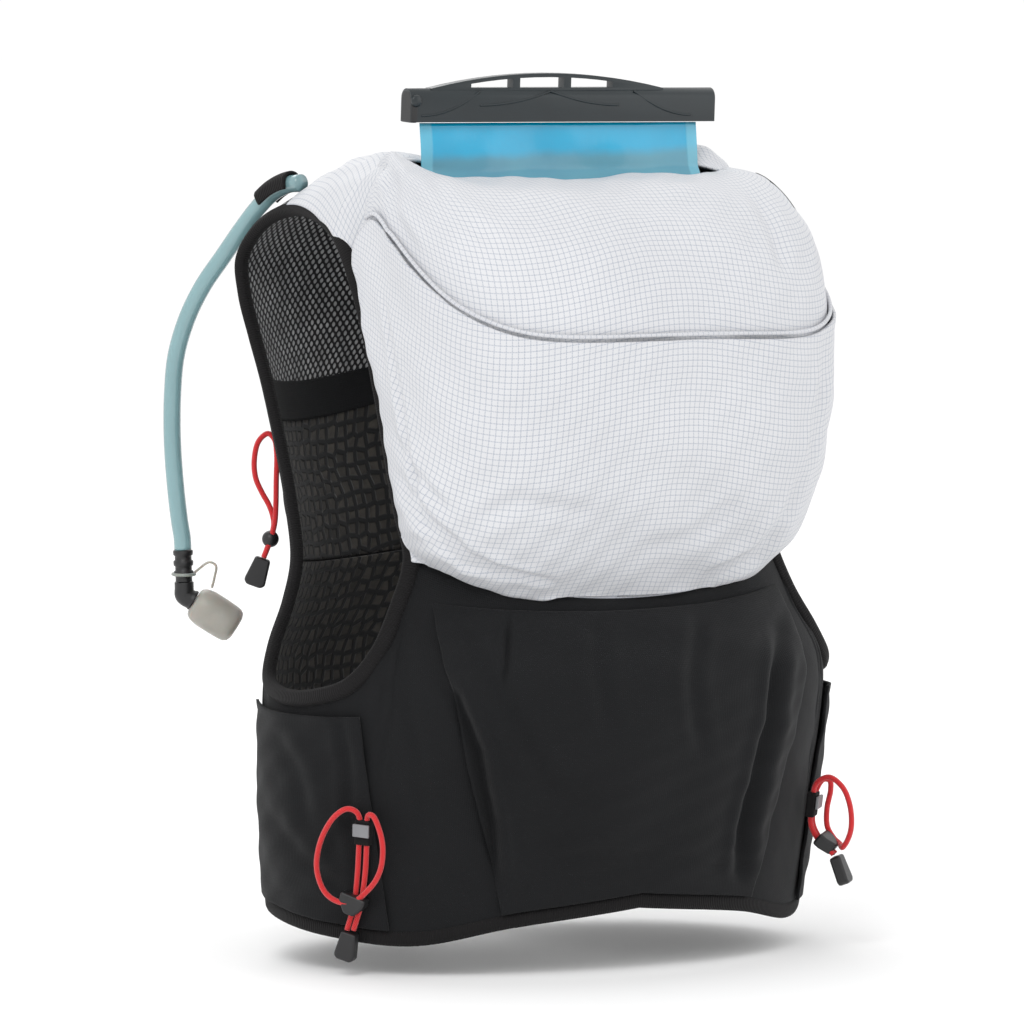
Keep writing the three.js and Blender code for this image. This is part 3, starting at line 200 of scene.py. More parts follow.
BLADDER = Table(
    "at behind thick width",
    (0.455, 0.42, 0.14, 0.80),
    (0.425, 0.56, 0.52, 0.92),
    (0.340, 0.80, 1.0, 1.0),
    (0.200, 0.80, 1.0, 1.0),
    (0.080, 0.58, 0.58, 1.0),
    (0.010, 0.36, 0.20, 1.0),
    (-0.040, 0.34, 0.12, 1.0),
    (-0.098, 0.24, 0.12, 1.0),
)
BLADDER_WIDTH = 172
BLADDER_THICKNESS = 24
BLADDER_TOP = -0.098
CLOSURE_TILT = 0.035
CLOSURE_RISE = 39.4

# The photograph's view: pixels of its 1024 frame, at 0.54 mm each, from a long lens
PIXEL = 0.54
VIEW_RIGHT = np.array([0.866, -0.5, 0.0])
VIEW_UP = np.array([0.052, 0.0905, 0.9945])
VIEW_BACK = np.cross(VIEW_RIGHT, VIEW_UP)
ORIGIN_PIXEL = (529, 190)


# Shape maths


def vec(x, y, z):
    return np.stack(np.broadcast_arrays(x, y, z), axis=-1).astype(float)


def mix(low, high, share):
    return low + (high - low) * share


def unit(v):
    return v / np.maximum(np.linalg.norm(v, axis=-1, keepdims=True), 1e-9)


def from_shares(out, ahead, down):
    return vec(out * CHEST_WIDTH, ahead * CHEST_DEPTH, -down * LENGTH)


def mirrored(points, side):
    return points * np.array([side, 1.0, 1.0])


def torso_axes(height):
    """Half the width, half the depth and the centre of the torso's ellipse at a height."""
    at = -height / LENGTH
    width = TORSO.along(at, "width") * CHEST_WIDTH
    depth = TORSO.along(at, "depth") * CHEST_DEPTH
    return width, depth, TORSO.along(at, "centre") * CHEST_DEPTH


def torso(angle, height):
    """An ellipse at each height: width times sine, centre less depth times cosine."""
    width, depth, centre = torso_axes(height)
    return vec(width * np.sin(angle), centre - depth * np.cos(angle), height)


def torso_angle(point):
    """The angle whose ellipse point lies in the given point's direction."""
    width, depth, centre = torso_axes(point[..., 2])
    return np.arctan2(point[..., 0] / width, (centre - point[..., 1]) / depth)


def hem_height(angle):
    return -HEM.along(np.abs(angle) / np.pi, "down") * LENGTH


def back_edge(at):
    return from_shares(ARMHOLE_BACK.along(at, "out"), ARMHOLE_BACK.along(at, "ahead"), at)


def strap_edge(row, *names):
    return from_shares(*(STRAP.along(row, name) for name in names))


def strap_outer(row):
    return strap_edge(row, "out", "ahead", "down")


def strap_inner(row):
    return strap_edge(row, "neck_out", "neck_ahead", "neck_down")


CHEST_CENTRE = np.array([0.3 * CHEST_WIDTH, 0.1 * CHEST_DEPTH, -0.25 * LENGTH])
LAST_ROW = 10
CORNER = back_edge(ARMHOLE_FOOT)


def strap_point(row, across, lifted=False):
    """The straight line between the strap's edges, arched outwards by the crown times a sine."""
    row, across = np.broadcast_arrays(np.asarray(row, dtype=float), np.asarray(across, dtype=float))
    outer = strap_outer(row)
    inner = strap_inner(row)
    onward = strap_outer(np.minimum(row + 0.1, LAST_ROW)) - strap_outer(np.maximum(row - 0.1, 0))
    outward = unit(np.cross(inner - outer, onward))
    point = mix(outer, inner, across[..., None])
    facing = np.sign(np.sum(outward * (point - CHEST_CENTRE), axis=-1))
    arch = STRAP.along(row, "crown") + (STRAP.along(row, "lift") if lifted else 0)
    return point + outward * (facing * arch * np.sin(np.pi * across) ** 0.8)[..., None]


def spline(points, count, closed=False):
    """A centripetal Catmull-Rom curve, sampled densely and then at even distances."""
    points = np.asarray(points, dtype=float)
    if closed:
        padded = np.concatenate([points[-1:], points, points[:2]])
    else:
        first = 2 * points[0] - points[1]
        last = 2 * points[-1] - points[-2]
        padded = np.concatenate([first[None], points, last[None]])
    p0, p1, p2, p3 = (padded[k:len(padded) - 3 + k] for k in range(4))
    pairs = ((p0, p1), (p1, p2), (p2, p3))
    gaps = [np.maximum(np.linalg.norm(b - a, axis=1), 1e-6) ** 0.5 for a, b in pairs]
    t = np.linspace(0, 1, SPLINE_STEPS, endpoint=False)[None, :, None]
    d0, d1, d2 = (gap[:, None] for gap in gaps)
    start = ((p1 - p0) / d0 - (p2 - p0) / (d0 + d1) + (p2 - p1) / d1) * d1
    finish = ((p2 - p1) / d1 - (p3 - p1) / (d1 + d2) + (p3 - p2) / d2) * d1
    p1, p2, start, finish = (v[:, None, :] for v in (p1, p2, start, finish))
    line = p1 * (2 * t**3 - 3 * t**2 + 1) + p2 * (3 * t**2 - 2 * t**3)
    line = line + start * (t**3 - 2 * t**2 + t) + finish * (t**3 - t**2)
    line = line.reshape(-1, 3)
    line = np.concatenate([line, points[:1] if closed else points[-1:]])
    return even(line, count, closed)


def travelled(line):
    """The distance along a polyline to each of its points."""
    return np.concatenate([[0], np.cumsum(np.linalg.norm(np.diff(line, axis=0), axis=1))])


def even(line, count, closed=False):
    """Points at even distances along a polyline."""
    run = travelled(line)
    wanted = np.linspace(0, run[-1], count, endpoint=not closed)
    return np.stack([np.interp(wanted, run, line[:, k]) for k in range(3)], axis=-1)


def length_of(line):
    return float(np.sum(np.linalg.norm(np.diff(line, axis=0), axis=1)))


def normals(grid, centre):
    """The cross product of the two directions of a grid, turned away from a centre."""
    facing = unit(np.cross(np.gradient(grid, axis=0), np.gradient(grid, axis=1)))
    rows, columns = grid.shape[:2]
    middle = (rows // 2, columns // 2)
    if np.dot(facing[middle], grid[middle] - centre) < 0:
        facing = -facing
    return facing


def distances(grid):
    """Distances over a grid in its two directions, from its middle row and from its first column."""
    rows = np.linalg.norm(np.diff(grid, axis=0), axis=-1)
    columns = np.linalg.norm(np.diff(grid, axis=1), axis=-1)
    u = np.concatenate([np.zeros((1, grid.shape[1])), np.cumsum(rows, axis=0)])
    v = np.concatenate([np.zeros((grid.shape[0], 1)), np.cumsum(columns, axis=1)], axis=1)
    return np.stack([u - u[grid.shape[0] // 2], v], axis=-1)


def to_pixels(points):
    """The place of points in the photograph's frame."""
    x = ORIGIN_PIXEL[0] + points @ VIEW_RIGHT / PIXEL
    y = ORIGIN_PIXEL[1] - points @ VIEW_UP / PIXEL
    return np.stack([x, y], axis=-1)


def crease_depth(points, facing, lines):
    """Folds along lines of the photograph: a groove with a soft ridge on each side, on what faces it."""
    places = to_pixels(points)
    shown = np.clip(facing @ VIEW_BACK * 3, 0, 1)
    total = np.zeros(points.shape[:-1])
    for line, width, depth in lines:
        line = np.array(line, dtype=float)
        start = travelled(line)
        nearest = np.full(total.shape, np.inf)
        share = np.zeros(total.shape)
        for k in range(len(line) - 1):
            step = line[k + 1] - line[k]
            t = np.clip(((places - line[k]) @ step) / (step @ step), 0, 1)
            gap = np.linalg.norm(places - line[k] - t[..., None] * step, axis=-1)
            closer = gap < nearest
            nearest = np.where(closer, gap, nearest)
            share = np.where(closer, mix(start[k], start[k + 1], t) / start[-1], share)
        taper = np.clip(np.sin(np.pi * np.clip(share, 0, 1)) * 1.6, 0, 1)
        taper = taper * np.exp(-((nearest / (4 * width)) ** 2))
        groove = -np.exp(-((nearest / width) ** 2))
        ridge = 0.55 * np.exp(-(((nearest - 1.9 * width) / width) ** 2))
        total += depth * taper * (groove + ridge) * shown
    return total


def ripple(uv, waves):
    """A sum of sine waves over the cloth: each has a height, a wavelength, a direction and a start."""
    total = np.zeros(uv.shape[:-1])
    for height, wavelength, turn, start in waves:
        phase = (uv[..., 0] * np.cos(turn) + uv[..., 1] * np.sin(turn)) / wavelength
        total += height * np.sin(2 * np.pi * phase + start)
    return total


# Meshes


def add_object(name, points, faces, corners=None):
    """A mesh object from points in millimetres, faces, and a UV for each corner of each face."""
    mesh = bpy.data.meshes.new(name)
    mesh.from_pydata((np.asarray(points) * MM).tolist(), [], [list(map(int, face)) for face in faces])
    if corners is not None:
        layer = mesh.uv_layers.new(name="UVMap")
        layer.data.foreach_set("uv", np.asarray(corners, dtype=np.float32).ravel())
    mesh.polygons.foreach_set("use_smooth", np.full(len(mesh.polygons), True))
    mesh.update()
    piece = bpy.data.objects.new(name, mesh)
    bpy.context.scene.collection.objects.link(piece)
    return piece


def grid_quads(rows, columns, wrap_rows=False, wrap_columns=False):
    """Row and column numbers of the corners of each quad of a grid."""
    counts = (rows - (not wrap_rows), columns - (not wrap_columns))
    i, j = (numbers.ravel() for numbers in np.indices(counts))
    return np.stack([i, i + 1, i + 1, i], axis=1), np.stack([j, j, j + 1, j + 1], axis=1)


def inside_out(points, faces):
    """Whether the volume inside the faces comes out negative."""
    a, b, c, d = (points[faces[:, k]] for k in range(4))
    return np.sum(a * np.cross(b, c)) + np.sum(a * np.cross(c, d)) < 0


def add_wall(name, outer, inner, uv):
    """Two grids of points joined along their rims, as a cloth with a thickness."""
    rows, columns = outer.shape[:2]
    points = np.concatenate([outer.reshape(-1, 3), inner.reshape(-1, 3)])
    i, j = grid_quads(rows, columns)
    front = i * columns + j
    back = front[:, ::-1] + rows * columns
    faces = [front, back]
    corners = [uv[i, j], uv[i[:, ::-1], j[:, ::-1]]]
    rims = (
        (np.arange(rows), np.zeros(rows, int), True),
        (np.arange(rows), np.full(rows, columns - 1), False),
        (np.zeros(columns, int), np.arange(columns), False),
        (np.full(columns, rows - 1), np.arange(columns), True),
    )
    for row, column, turned in rims:
        edge = row * columns + column
        below = edge + rows * columns
        quad = np.stack([edge[:-1], edge[1:], below[1:], below[:-1]], axis=1)
        near = uv[row, column]
        shade = np.stack([near[:-1], near[1:], near[1:], near[:-1]], axis=1)
        faces.append(quad[:, ::-1] if turned else quad)
        corners.append(shade[:, ::-1] if turned else shade)
    faces = np.concatenate(faces)
    corners = np.concatenate(corners)
    if inside_out(points, faces):
        faces = faces[:, ::-1]
        corners = corners[:, ::-1]
    return add_object(name, points, faces, corners)


def add_cloth(name, grid, centre, outer, inner, relief=None):
    """A wall of cloth about a grid, with an optional relief in millimetres added along its normals."""
    facing = normals(grid, centre)
    uv = distances(grid) * MM
    if relief is not None:
        grid = grid + facing * relief[..., None]
    return add_wall(name, grid + facing * outer, grid - facing * inner, uv)


def circle_angles(count):
    return np.arange(count) / count * 2 * np.pi


def add_loft(name, rings, run, joined=False):
    """Rings of points joined side by side, with a cap on each end where they aren't closed.

    UV runs along the rings by the distances in run, in metres, and once round them.
    """
    count, around = rings.shape[:2]
    uv = np.stack(np.meshgrid(run * MM, np.arange(around + 1) / around, indexing="ij"), axis=-1)
    i, j = grid_quads(count, around, joined, True)
    faces = (i % count) * around + j % around
    corners = uv[i, j]
    points = rings.reshape(-1, 3)
    flipped = inside_out(points, faces)
    if flipped:
        faces = faces[:, ::-1]
        corners = corners[:, ::-1]
    faces = faces.tolist()
    corners = corners.reshape(-1, 2).tolist()
    if not joined:
        for end in (0, count - 1):
            rim = [end * around + k for k in range(around)]
            if (end == 0) == flipped:
                rim = rim[::-1]
            faces.append(rim)
            corners.extend([uv[end, 0].tolist()] * around)
    return add_object(name, points, faces, corners)


def onward_along(path, closed=False):
    if closed:
        return unit(np.roll(path, -1, axis=0) - np.roll(path, 1, axis=0))
    return unit(np.gradient(path, axis=0))


def carried_sides(path):
    """Two directions across a path, carried along it without twist."""
    onward = onward_along(path)
    sideways = np.zeros_like(path)
    guess = np.array([0.0, 0.0, 1.0]) if abs(onward[0, 2]) < 0.9 else np.array([1.0, 0.0, 0.0])
    for k, ahead in enumerate(onward):
        guess = unit(guess - ahead * np.dot(guess, ahead))
        sideways[k] = guess
    return sideways, np.cross(onward, sideways)


def add_tube(name, path, diameter, sides, radii=None):
    """A circle carried along a path, with a radius for each point where radii are given."""
    sideways, up = carried_sides(path)
    angle = circle_angles(sides)
    radii = np.full(len(path), diameter / 2) if radii is None else radii
    rings = path[:, None] + radii[:, None, None] * (
        sideways[:, None] * np.cos(angle)[None, :, None] + up[:, None] * np.sin(angle)[None, :, None]
    )
    return add_loft(name, rings, travelled(path))


def add_turned(name, profile, start, direction, sides=48):
    """A profile of radius and height turned about a direction, from a starting point."""
    direction = unit(np.asarray(direction, dtype=float))
    side = unit(np.cross(direction, [0.0, 0.0, 1.0]))
    other = np.cross(direction, side)
    angle = circle_angles(sides)
    profile = np.asarray(profile, dtype=float)
    circle = side[None] * np.cos(angle)[:, None] + other[None] * np.sin(angle)[:, None]
    rings = start + profile[:, 1, None, None] * direction + profile[:, 0, None, None] * circle[None]
    return add_loft(name, rings, profile[:, 1])


def add_slab(name, outline, depth, matrix, bevel):
    """A flat outline given a depth, placed by a matrix, with rounded edges."""
    outline = np.asarray(outline, dtype=float)
    count = len(outline)
    low = np.column_stack([outline, np.full(count, -depth / 2)])
    high = np.column_stack([outline, np.full(count, depth / 2)])
    points = np.concatenate([low, high])
    points = points @ matrix[:3, :3].T + matrix[:3, 3]
    faces = [list(range(count))[::-1], list(range(count, 2 * count))]
    faces += [[k, (k + 1) % count, count + (k + 1) % count, count + k] for k in range(count)]
    piece = add_object(name, points, faces)
    shell = bmesh.new()
    shell.from_mesh(piece.data)
    bmesh.ops.recalc_face_normals(shell, faces=shell.faces)
    shell.to_mesh(piece.data)
    shell.free()
    add_bevel(piece, bevel)
    return piece


def add_bevel(piece, width):
    bevel = piece.modifiers.new("Rounded edges", "BEVEL")
    bevel.width = width * MM
    bevel.segments = 3
    bevel.limit_method = "ANGLE"
    bevel.angle_limit = 0.6
    bevel.harden_normals = True


def frame_copy(name, node, bevel):
    """A merged copy of a CAD node, with its flat faces joined and its edges rounded."""
    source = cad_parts[node]
    mesh = source.data.copy()
    mesh.name = name
    mesh.transform(source.matrix_world)
    shell = bmesh.new()
    shell.from_mesh(mesh)
    bmesh.ops.remove_doubles(shell, verts=shell.verts, dist=0.00002)
    bmesh.ops.dissolve_limit(shell, angle_limit=0.02, verts=shell.verts, edges=shell.edges)
    shell.to_mesh(mesh)
    shell.free()
    mesh.materials.clear()
    mesh.polygons.foreach_set("use_smooth", np.full(len(mesh.polygons), True))
    piece = bpy.data.objects.new(name, mesh)
    bpy.context.scene.collection.objects.link(piece)
    add_bevel(piece, bevel)
    return piece


def dress(piece, look, *nodes):
    """Gives a piece its material and its slot, and lets it stand for CAD nodes."""
    piece.data.materials.clear()
    piece.data.materials.append(materials[look])
    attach(piece, "root")
    if nodes:
        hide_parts(*nodes)
    return piece


def declare_sheet(grid):
    """Works out the cross products of the two triangles of each quad of a grid, and keeps nothing of them.
    """
    first = np.cross(grid[1:, :-1] - grid[:-1, :-1], grid[:-1, 1:] - grid[:-1, :-1])
    second = np.cross(grid[1:, 1:] - grid[:-1, 1:], grid[1:, 1:] - grid[1:, :-1])


def add_sheet(name, grid, centre, outer, inner, relief, look, node):
    """A panel of cloth that stands for a node."""
    piece = dress(add_cloth(name, grid, centre, outer, inner, relief), look, node)
    declare_sheet(grid)


# Materials


class Term:
    """A socket of a material. Arithmetic on terms adds Math nodes."""

    def __init__(self, maker, socket):
        self.maker = maker
        self.socket = socket

    def math(self, operation, *others):
        values = dict(enumerate([self, *others]))
        return self.maker.node("ShaderNodeMath", {"operation": operation}, values)

    def __add__(self, other):
        return self.math("ADD", other)

    __radd__ = __add__

    def __mul__(self, other):
        return self.math("MULTIPLY", other)

    __rmul__ = __mul__

    def __sub__(self, other):
        return self.math("SUBTRACT", other)

    def __rsub__(self, other):
        return self.maker.node("ShaderNodeMath", {"operation": "SUBTRACT"}, {0: other, 1: self})

    def __truediv__(self, other):
        return self.math("DIVIDE", other)

    def __gt__(self, other):
        return self.math("GREATER_THAN", other)

    def sin(self):
        return self.math("SINE")

    def abs(self):
        return self.math("ABSOLUTE")

    def fraction(self):
        return self.math("FRACT")

    def larger(self, other):
        return self.math("MAXIMUM", other)

    def steps(self, low, high):
        """A smooth rise from 0 to 1 between two values."""
        values = {"Value": self, "From Min": low, "From Max": high}
        return self.maker.node("ShaderNodeMapRange", {"interpolation_type": "SMOOTHSTEP"}, values)


class Finish:
    """A material in the making, round one Principled shader."""

    def __init__(self, name, **constants):
        self.material = bpy.data.materials.new(name)
        self.material.use_nodes = True
        self.tree = self.material.node_tree
        self.shader = self.tree.nodes["Principled BSDF"]
        for socket, value in constants.items():
            self.shader.inputs[socket.replace("_", " ")].default_value = value

    def node(self, kind, settings=None, values=None, output=0):
        made = self.tree.nodes.new(kind)
        for name, value in (settings or {}).items():
            setattr(made, name, value)
        for socket, value in (values or {}).items():
            if isinstance(value, Term):
                self.tree.links.new(value.socket, made.inputs[socket])
            else:
                made.inputs[socket].default_value = value
        return Term(self, made.outputs[output])

    def place(self, kind):
        return self.node("ShaderNodeTexCoord", output=kind)

    def axes(self, kind):
        """The three coordinates of a place, each as a term."""
        split = self.node("ShaderNodeSeparateXYZ", None, {0: self.place(kind)})
        return [Term(self, socket) for socket in split.socket.node.outputs]

    def over_cloth(self):
        """Distances over the cloth in its two directions, in millimetres."""
        u, v = self.axes("UV")[:2]
        return u / MM, v / MM

    def noise(self, place, scale, detail=3.0, roughness=0.5):
        values = {"Vector": place, "Scale": scale, "Detail": detail, "Roughness": roughness}
        return self.node("ShaderNodeTexNoise", None, values)

    def mix(self, share, low, high):
        made = self.tree.nodes.new("ShaderNodeMix")
        made.data_type = "RGBA"
        for socket, value in ((0, share), (6, low), (7, high)):
            if isinstance(value, Term):
                self.tree.links.new(value.socket, made.inputs[socket])
            else:
                made.inputs[socket].default_value = (*value, 1.0) if socket else value
        return Term(self, made.outputs[2])

    def set(self, socket, value):
        self.tree.links.new(value.socket, self.shader.inputs[socket])

    def bump(self, height, strength, distance):
        values = {"Strength": strength, "Distance": distance * MM, "Height": height}
        self.set("Normal", self.node("ShaderNodeBump", None, values))


def thread_grid(u, v, cell, line, dot):
    """Lines a cell apart, broken into dots: 1 on a dot and 0 between."""
    def near(x):
        return ((x / cell).fraction() - 0.5).abs() > 0.5 - line / cell / 2

    def dotted(x):
        return (x / dot).fraction() > 0.42

    return (near(u) * dotted(v)).larger(near(v) * dotted(u))


def tinted(colour, factor):
    return tuple(min(value * factor, 1) for value in colour)


def white_cloth(colours):
    finish = Finish("White ripstop", Roughness=0.55, Sheen_Weight=0.15, Specular_IOR_Level=0.4)
    u, v = finish.over_cloth()
    spot = finish.place("Object")
    threads = thread_grid(u, v, colours.ripstop_cell / MM, 0.55, 0.8)
    patches = finish.noise(spot, 14.0, 2.0)
    cloth = finish.mix(patches, (0.59, 0.595, 0.615), tuple(colours.white))
    finish.set("Base Color", finish.mix(threads * 0.75, cloth, (0.27, 0.31, 0.39)))
    weave = ((u * 9.0).sin() * (v * 9.0).sin()) * 0.12
    crumple = finish.noise(spot, 55.0, 5.0, 0.62)
    finish.bump(weave + threads * 0.5 + crumple * 2.2, 0.32, 0.6)
    return finish.material


def black_cloth(colours):
    finish = Finish("Black stretch cloth", Roughness=0.85, Sheen_Weight=0.05, Specular_IOR_Level=0.2)
    u, v = finish.over_cloth()
    spot = finish.place("Object")
    patches = finish.noise(spot, 18.0, 4.0)
    finish.set("Base Color", finish.mix(patches, tinted(colours.black, 0.75), tinted(colours.black, 1.25)))
    wale = (u * 5.2).sin()
    ribs = wale * 0.5 + (v * 5.2 + wale).sin() * 0.5
    fuzz = finish.noise(spot, 700.0, 3.0)
    folds = finish.noise(spot, 30.0, 4.0)
    finish.bump(ribs * 0.35 + fuzz * 0.5 + folds * 3.0, 0.35, 0.7)
    return finish.material


def spaced_mesh(colours):
    """Air mesh: two crossing waves leave a lattice of diamonds, through which a pale layer shows."""
    finish = Finish("Spaced mesh", Roughness=0.85, Sheen_Weight=0.2, Specular_IOR_Level=0.25)
    u, v = finish.over_cloth()
    spot = finish.place("Object")
    u = u * (np.pi / 5.8)
    v = v * (np.pi / 4.4)
    holes = ((u + v).sin() * (u - v).sin()).abs()
    dots = holes.steps(0.34, 0.72)
    shade = finish.noise(spot, 120.0, 3.0)
    pale = finish.mix(shade, (0.10, 0.10, 0.102), (0.66, 0.66, 0.67))
    finish.set("Base Color", finish.mix(dots, tuple(colours.black), pale))
    finish.bump(dots * -1.0 + shade * 0.3, 0.8, 1.0)
    return finish.material


def open_mesh(colours):
    """A coarser mesh of rounded cells, with dim brown and grey seen through them."""
    finish = Finish("Open mesh", Roughness=0.8, Sheen_Weight=0.15, Specular_IOR_Level=0.3)
    place = finish.place("UV")
    cells = {"Vector": place, "Scale": 125.0, "Randomness": 0.4}
    flat = {"voronoi_dimensions": "2D"}
    edge = finish.node("ShaderNodeTexVoronoi", {"feature": "DISTANCE_TO_EDGE", **flat}, cells)
    tint = finish.node("ShaderNodeTexVoronoi", flat, cells, output="Color")
    inside = edge.steps(0.10, 0.24)
    mottle = finish.noise(place, 160.0, 4.0)
    through = finish.mix(mottle * inside, (0.010, 0.010, 0.011), (0.105, 0.092, 0.076))
    glow = finish.mix(tint, (0.45, 0.45, 0.45), (1.0, 1.0, 1.0))
    multiply = finish.node("ShaderNodeVectorMath", {"operation": "MULTIPLY"}, {0: through, 1: glow})
    finish.set("Base Color", finish.mix(inside, tuple(colours.black), multiply))
    finish.bump(inside * -1.0 + mottle * 0.3, 0.8, 1.0)
    return finish.material


def ribbed_binding(colours):
    finish = Finish("Ribbed binding", Roughness=0.82, Sheen_Weight=0.03, Specular_IOR_Level=0.2)
    along = finish.over_cloth()[0]
    spot = finish.place("Object")
    ribs = (along * 4.6).sin()
    fuzz = finish.noise(spot, 900.0, 2.0)
    tone = finish.noise(spot, 35.0, 3.0)
    finish.set("Base Color", finish.mix(tone, tinted(colours.binding, 0.8), tinted(colours.binding, 1.3)))
    finish.bump(ribs * 0.6 + fuzz * 0.6, 0.5, 0.5)
    return finish.material


# Where the film turns bright, and where its side welds begin, in metres from the scene's centre
FILM_BAND = (0.023, 0.030)
FILM_WELD = (0.0785, 0.080)


def bladder_film(colours):
    """Glossy film, bright in an upper band and duller below, with pale welded strips down its sides."""
    finish = Finish(
        "Bladder film", Roughness=0.16, Coat_Weight=0.6, Coat_Roughness=0.08, Specular_IOR_Level=0.6,
    )
    spot = finish.place("Object")
    x, _, z = finish.axes("Object")
    waves = finish.noise(spot, 26.0, 4.0)
    band = (z + waves * 0.008).steps(*FILM_BAND)
    sides = x.abs().steps(*FILM_WELD)
    dull = finish.mix(waves, (0.035, 0.22, 0.34), (0.10, 0.36, 0.46))
    bright = finish.mix(waves, (0.0, 0.32, 0.55), tuple(colours.film))
    body = finish.mix(band, dull, bright)
    finish.set("Base Color", finish.mix(sides * 0.6, body, (0.16, 0.52, 0.66)))
    finish.bump(waves * 2.0 + sides * 0.3, 0.35, 1.0)
    return finish.material


def moulded(name, colour, roughness, grain, coat=0.0):
    finish = Finish(name, Coat_Weight=coat, Coat_Roughness=0.1, Specular_IOR_Level=0.5)
    spot = finish.place("Object")
    fine = finish.noise(spot, grain, 4.0)
    broad = finish.noise(spot, 60.0, 3.0)
    finish.set("Base Color", finish.mix(broad, tinted(colour, 0.8), tinted(colour, 1.3)))
    finish.set("Roughness", fine * 0.2 + (roughness - 0.1))
    finish.bump(fine, 0.12, 0.3)
    return finish.material


def hose_plastic(colours):
    finish = Finish(
        "Drinking hose", Roughness=0.14, Coat_Weight=0.5, Coat_Roughness=0.06, Specular_IOR_Level=0.6,
        Transmission_Weight=0.35,
    )
    spot = finish.place("Object")
    cloud = finish.noise(spot, 45.0, 3.0)
    finish.set("Base Color", finish.mix(cloud, tinted(colours.hose, 0.85), tuple(colours.hose)))
    finish.bump(cloud, 0.1, 0.5)
    return finish.material


def braided(name, colour, dark, turns, pitch):
    """A braid: two sets of strands cross round the cord, and their shadow darkens the gaps."""
    finish = Finish(name, Roughness=0.62, Sheen_Weight=0.3, Specular_IOR_Level=0.35)
    u, v, _ = finish.axes("UV")
    spot = finish.place("Object")
    along = u / MM * (2 * np.pi / pitch)
    around = v * (2 * np.pi * turns)
    strands = (along + around).sin() * (along - around).sin()
    height = strands.abs()
    fuzz = finish.noise(spot, 1500.0, 2.0)
    finish.set("Base Color", finish.mix(height.steps(0.0, 0.5), dark, colour))
    finish.bump(height + fuzz * 0.4, 0.6, 0.4)
    return finish.material


def soft_silicone():
    finish = Finish(
        "Valve silicone", Roughness=0.35, Subsurface_Weight=0.15, Specular_IOR_Level=0.45,
        Transmission_Weight=0.3,
    )
    spot = finish.place("Object")
    cloud = finish.noise(spot, 90.0, 3.0)
    finish.set("Base Color", finish.mix(cloud, (0.30, 0.30, 0.26), (0.52, 0.52, 0.47)))
    finish.bump(cloud, 0.15, 0.5)
    return finish.material


materials = {}


def make_materials(colours):
    materials["white_cloth"] = white_cloth(colours)
    materials["black_cloth"] = black_cloth(colours)
    materials["spaced_mesh"] = spaced_mesh(colours)
    materials["open_mesh"] = open_mesh(colours)
    materials["binding"] = ribbed_binding(colours)
    materials["film"] = bladder_film(colours)
    materials["smoke_plastic"] = moulded("Smoke plastic", tuple(colours.closure), 0.32, 900.0, 0.12)
    materials["black_plastic"] = moulded("Black plastic", (0.012, 0.012, 0.013), 0.42, 1200.0)
    materials["hose"] = hose_plastic(colours)
    materials["silicone"] = soft_silicone()
    materials["red_elastic"] = braided("Red elastic", tuple(colours.red), (0.30, 0.008, 0.010), 5, 2.4)
    materials["black_cord"] = braided("Black cord", (0.02, 0.02, 0.022), (0.30, 0.30, 0.31), 3, 2.0)
    materials["grey_band"] = moulded("Grey band", (0.19, 0.19, 0.20), 0.4, 1800.0)


def settings():
    return bpy.context.scene.vest_settings


def colour_setting(name, use, default):
    described = f"Colour of {use}"
    return bpy.props.FloatVectorProperty(name=name, description=described, subtype="COLOR", default=default)


class VestSettings(bpy.types.PropertyGroup):
    ripstop_cell: bpy.props.FloatProperty(
        name="Ripstop cell", description="Distance between the dotted lines",
        default=3.2 * MM, unit="LENGTH",
    )
    fold_depth: bpy.props.FloatProperty(
        name="Fold depth", description="How deep the folds of the cloth are, as a factor", default=1.35,
    )
    white: colour_setting("White cloth", "the pack", (0.655, 0.66, 0.68))
    black: colour_setting("Black cloth", "the body", (0.0066, 0.0069, 0.0078))
    binding: colour_setting("Binding", "the edge bindings", (0.0068, 0.0062, 0.0066))
    film: colour_setting("Film", "the bladder's upper band", (0.0, 0.43, 0.70))
    closure: colour_setting("Closure", "the slide closure", (0.008, 0.014, 0.017))
    hose: colour_setting("Hose", "the drinking hose", (0.30, 0.50, 0.53))
    red: colour_setting("Red elastic", "the cords", (0.80, 0.015, 0.02))


# The lower body and its pockets


BODY_CENTRE = np.array([0.0, 0.0, -0.8 * LENGTH])
BODY_ROWS = 64
BACK_POCKET_ROWS = 140
SIDE_POCKET_ROWS = 90
HEM_ROWS = 7


def pack_seam_point(share):
    """The seam under the pack runs round the body to the pack's corner, and rises as a square."""
    height = mix(-PACK_SEAM_DOWN * LENGTH, CORNER[2], share**2)
    return torso(share * torso_angle(CORNER), height)


def underarm_points():
    turn, down = np.array(UNDERARM).T
    return torso(turn * np.pi, -down * LENGTH)


def upper_edge():
    seam = pack_seam_point(np.linspace(0, 1, 50))
    under = np.concatenate([CORNER[None], underarm_points()[::-1], strap_outer(LAST_ROW)[None]])
    front = strap_point(LAST_ROW, np.linspace(0, 1, 36))
    return np.concatenate([seam, spline(under, 110)[1:], front[1:]])


def lower_body_grid():
    """Lines from the body's upper edge to its hem, that start at the edge and settle on the torso."""
    top = upper_edge()
    angle = torso_angle(top)
    low = hem_height(angle) + HEM_HEIGHT - 3
    miss = top - torso(angle, top[:, 2])
    share = np.linspace(0, 1, BODY_ROWS)[None]
    half = torso(angle[:, None] + 0 * share, mix(top[:, 2, None], low[:, None], share))
    half = half + miss[:, None] * ((1 - share) ** 2)[..., None]
    return np.concatenate([mirrored(half[:0:-1], -1), half])


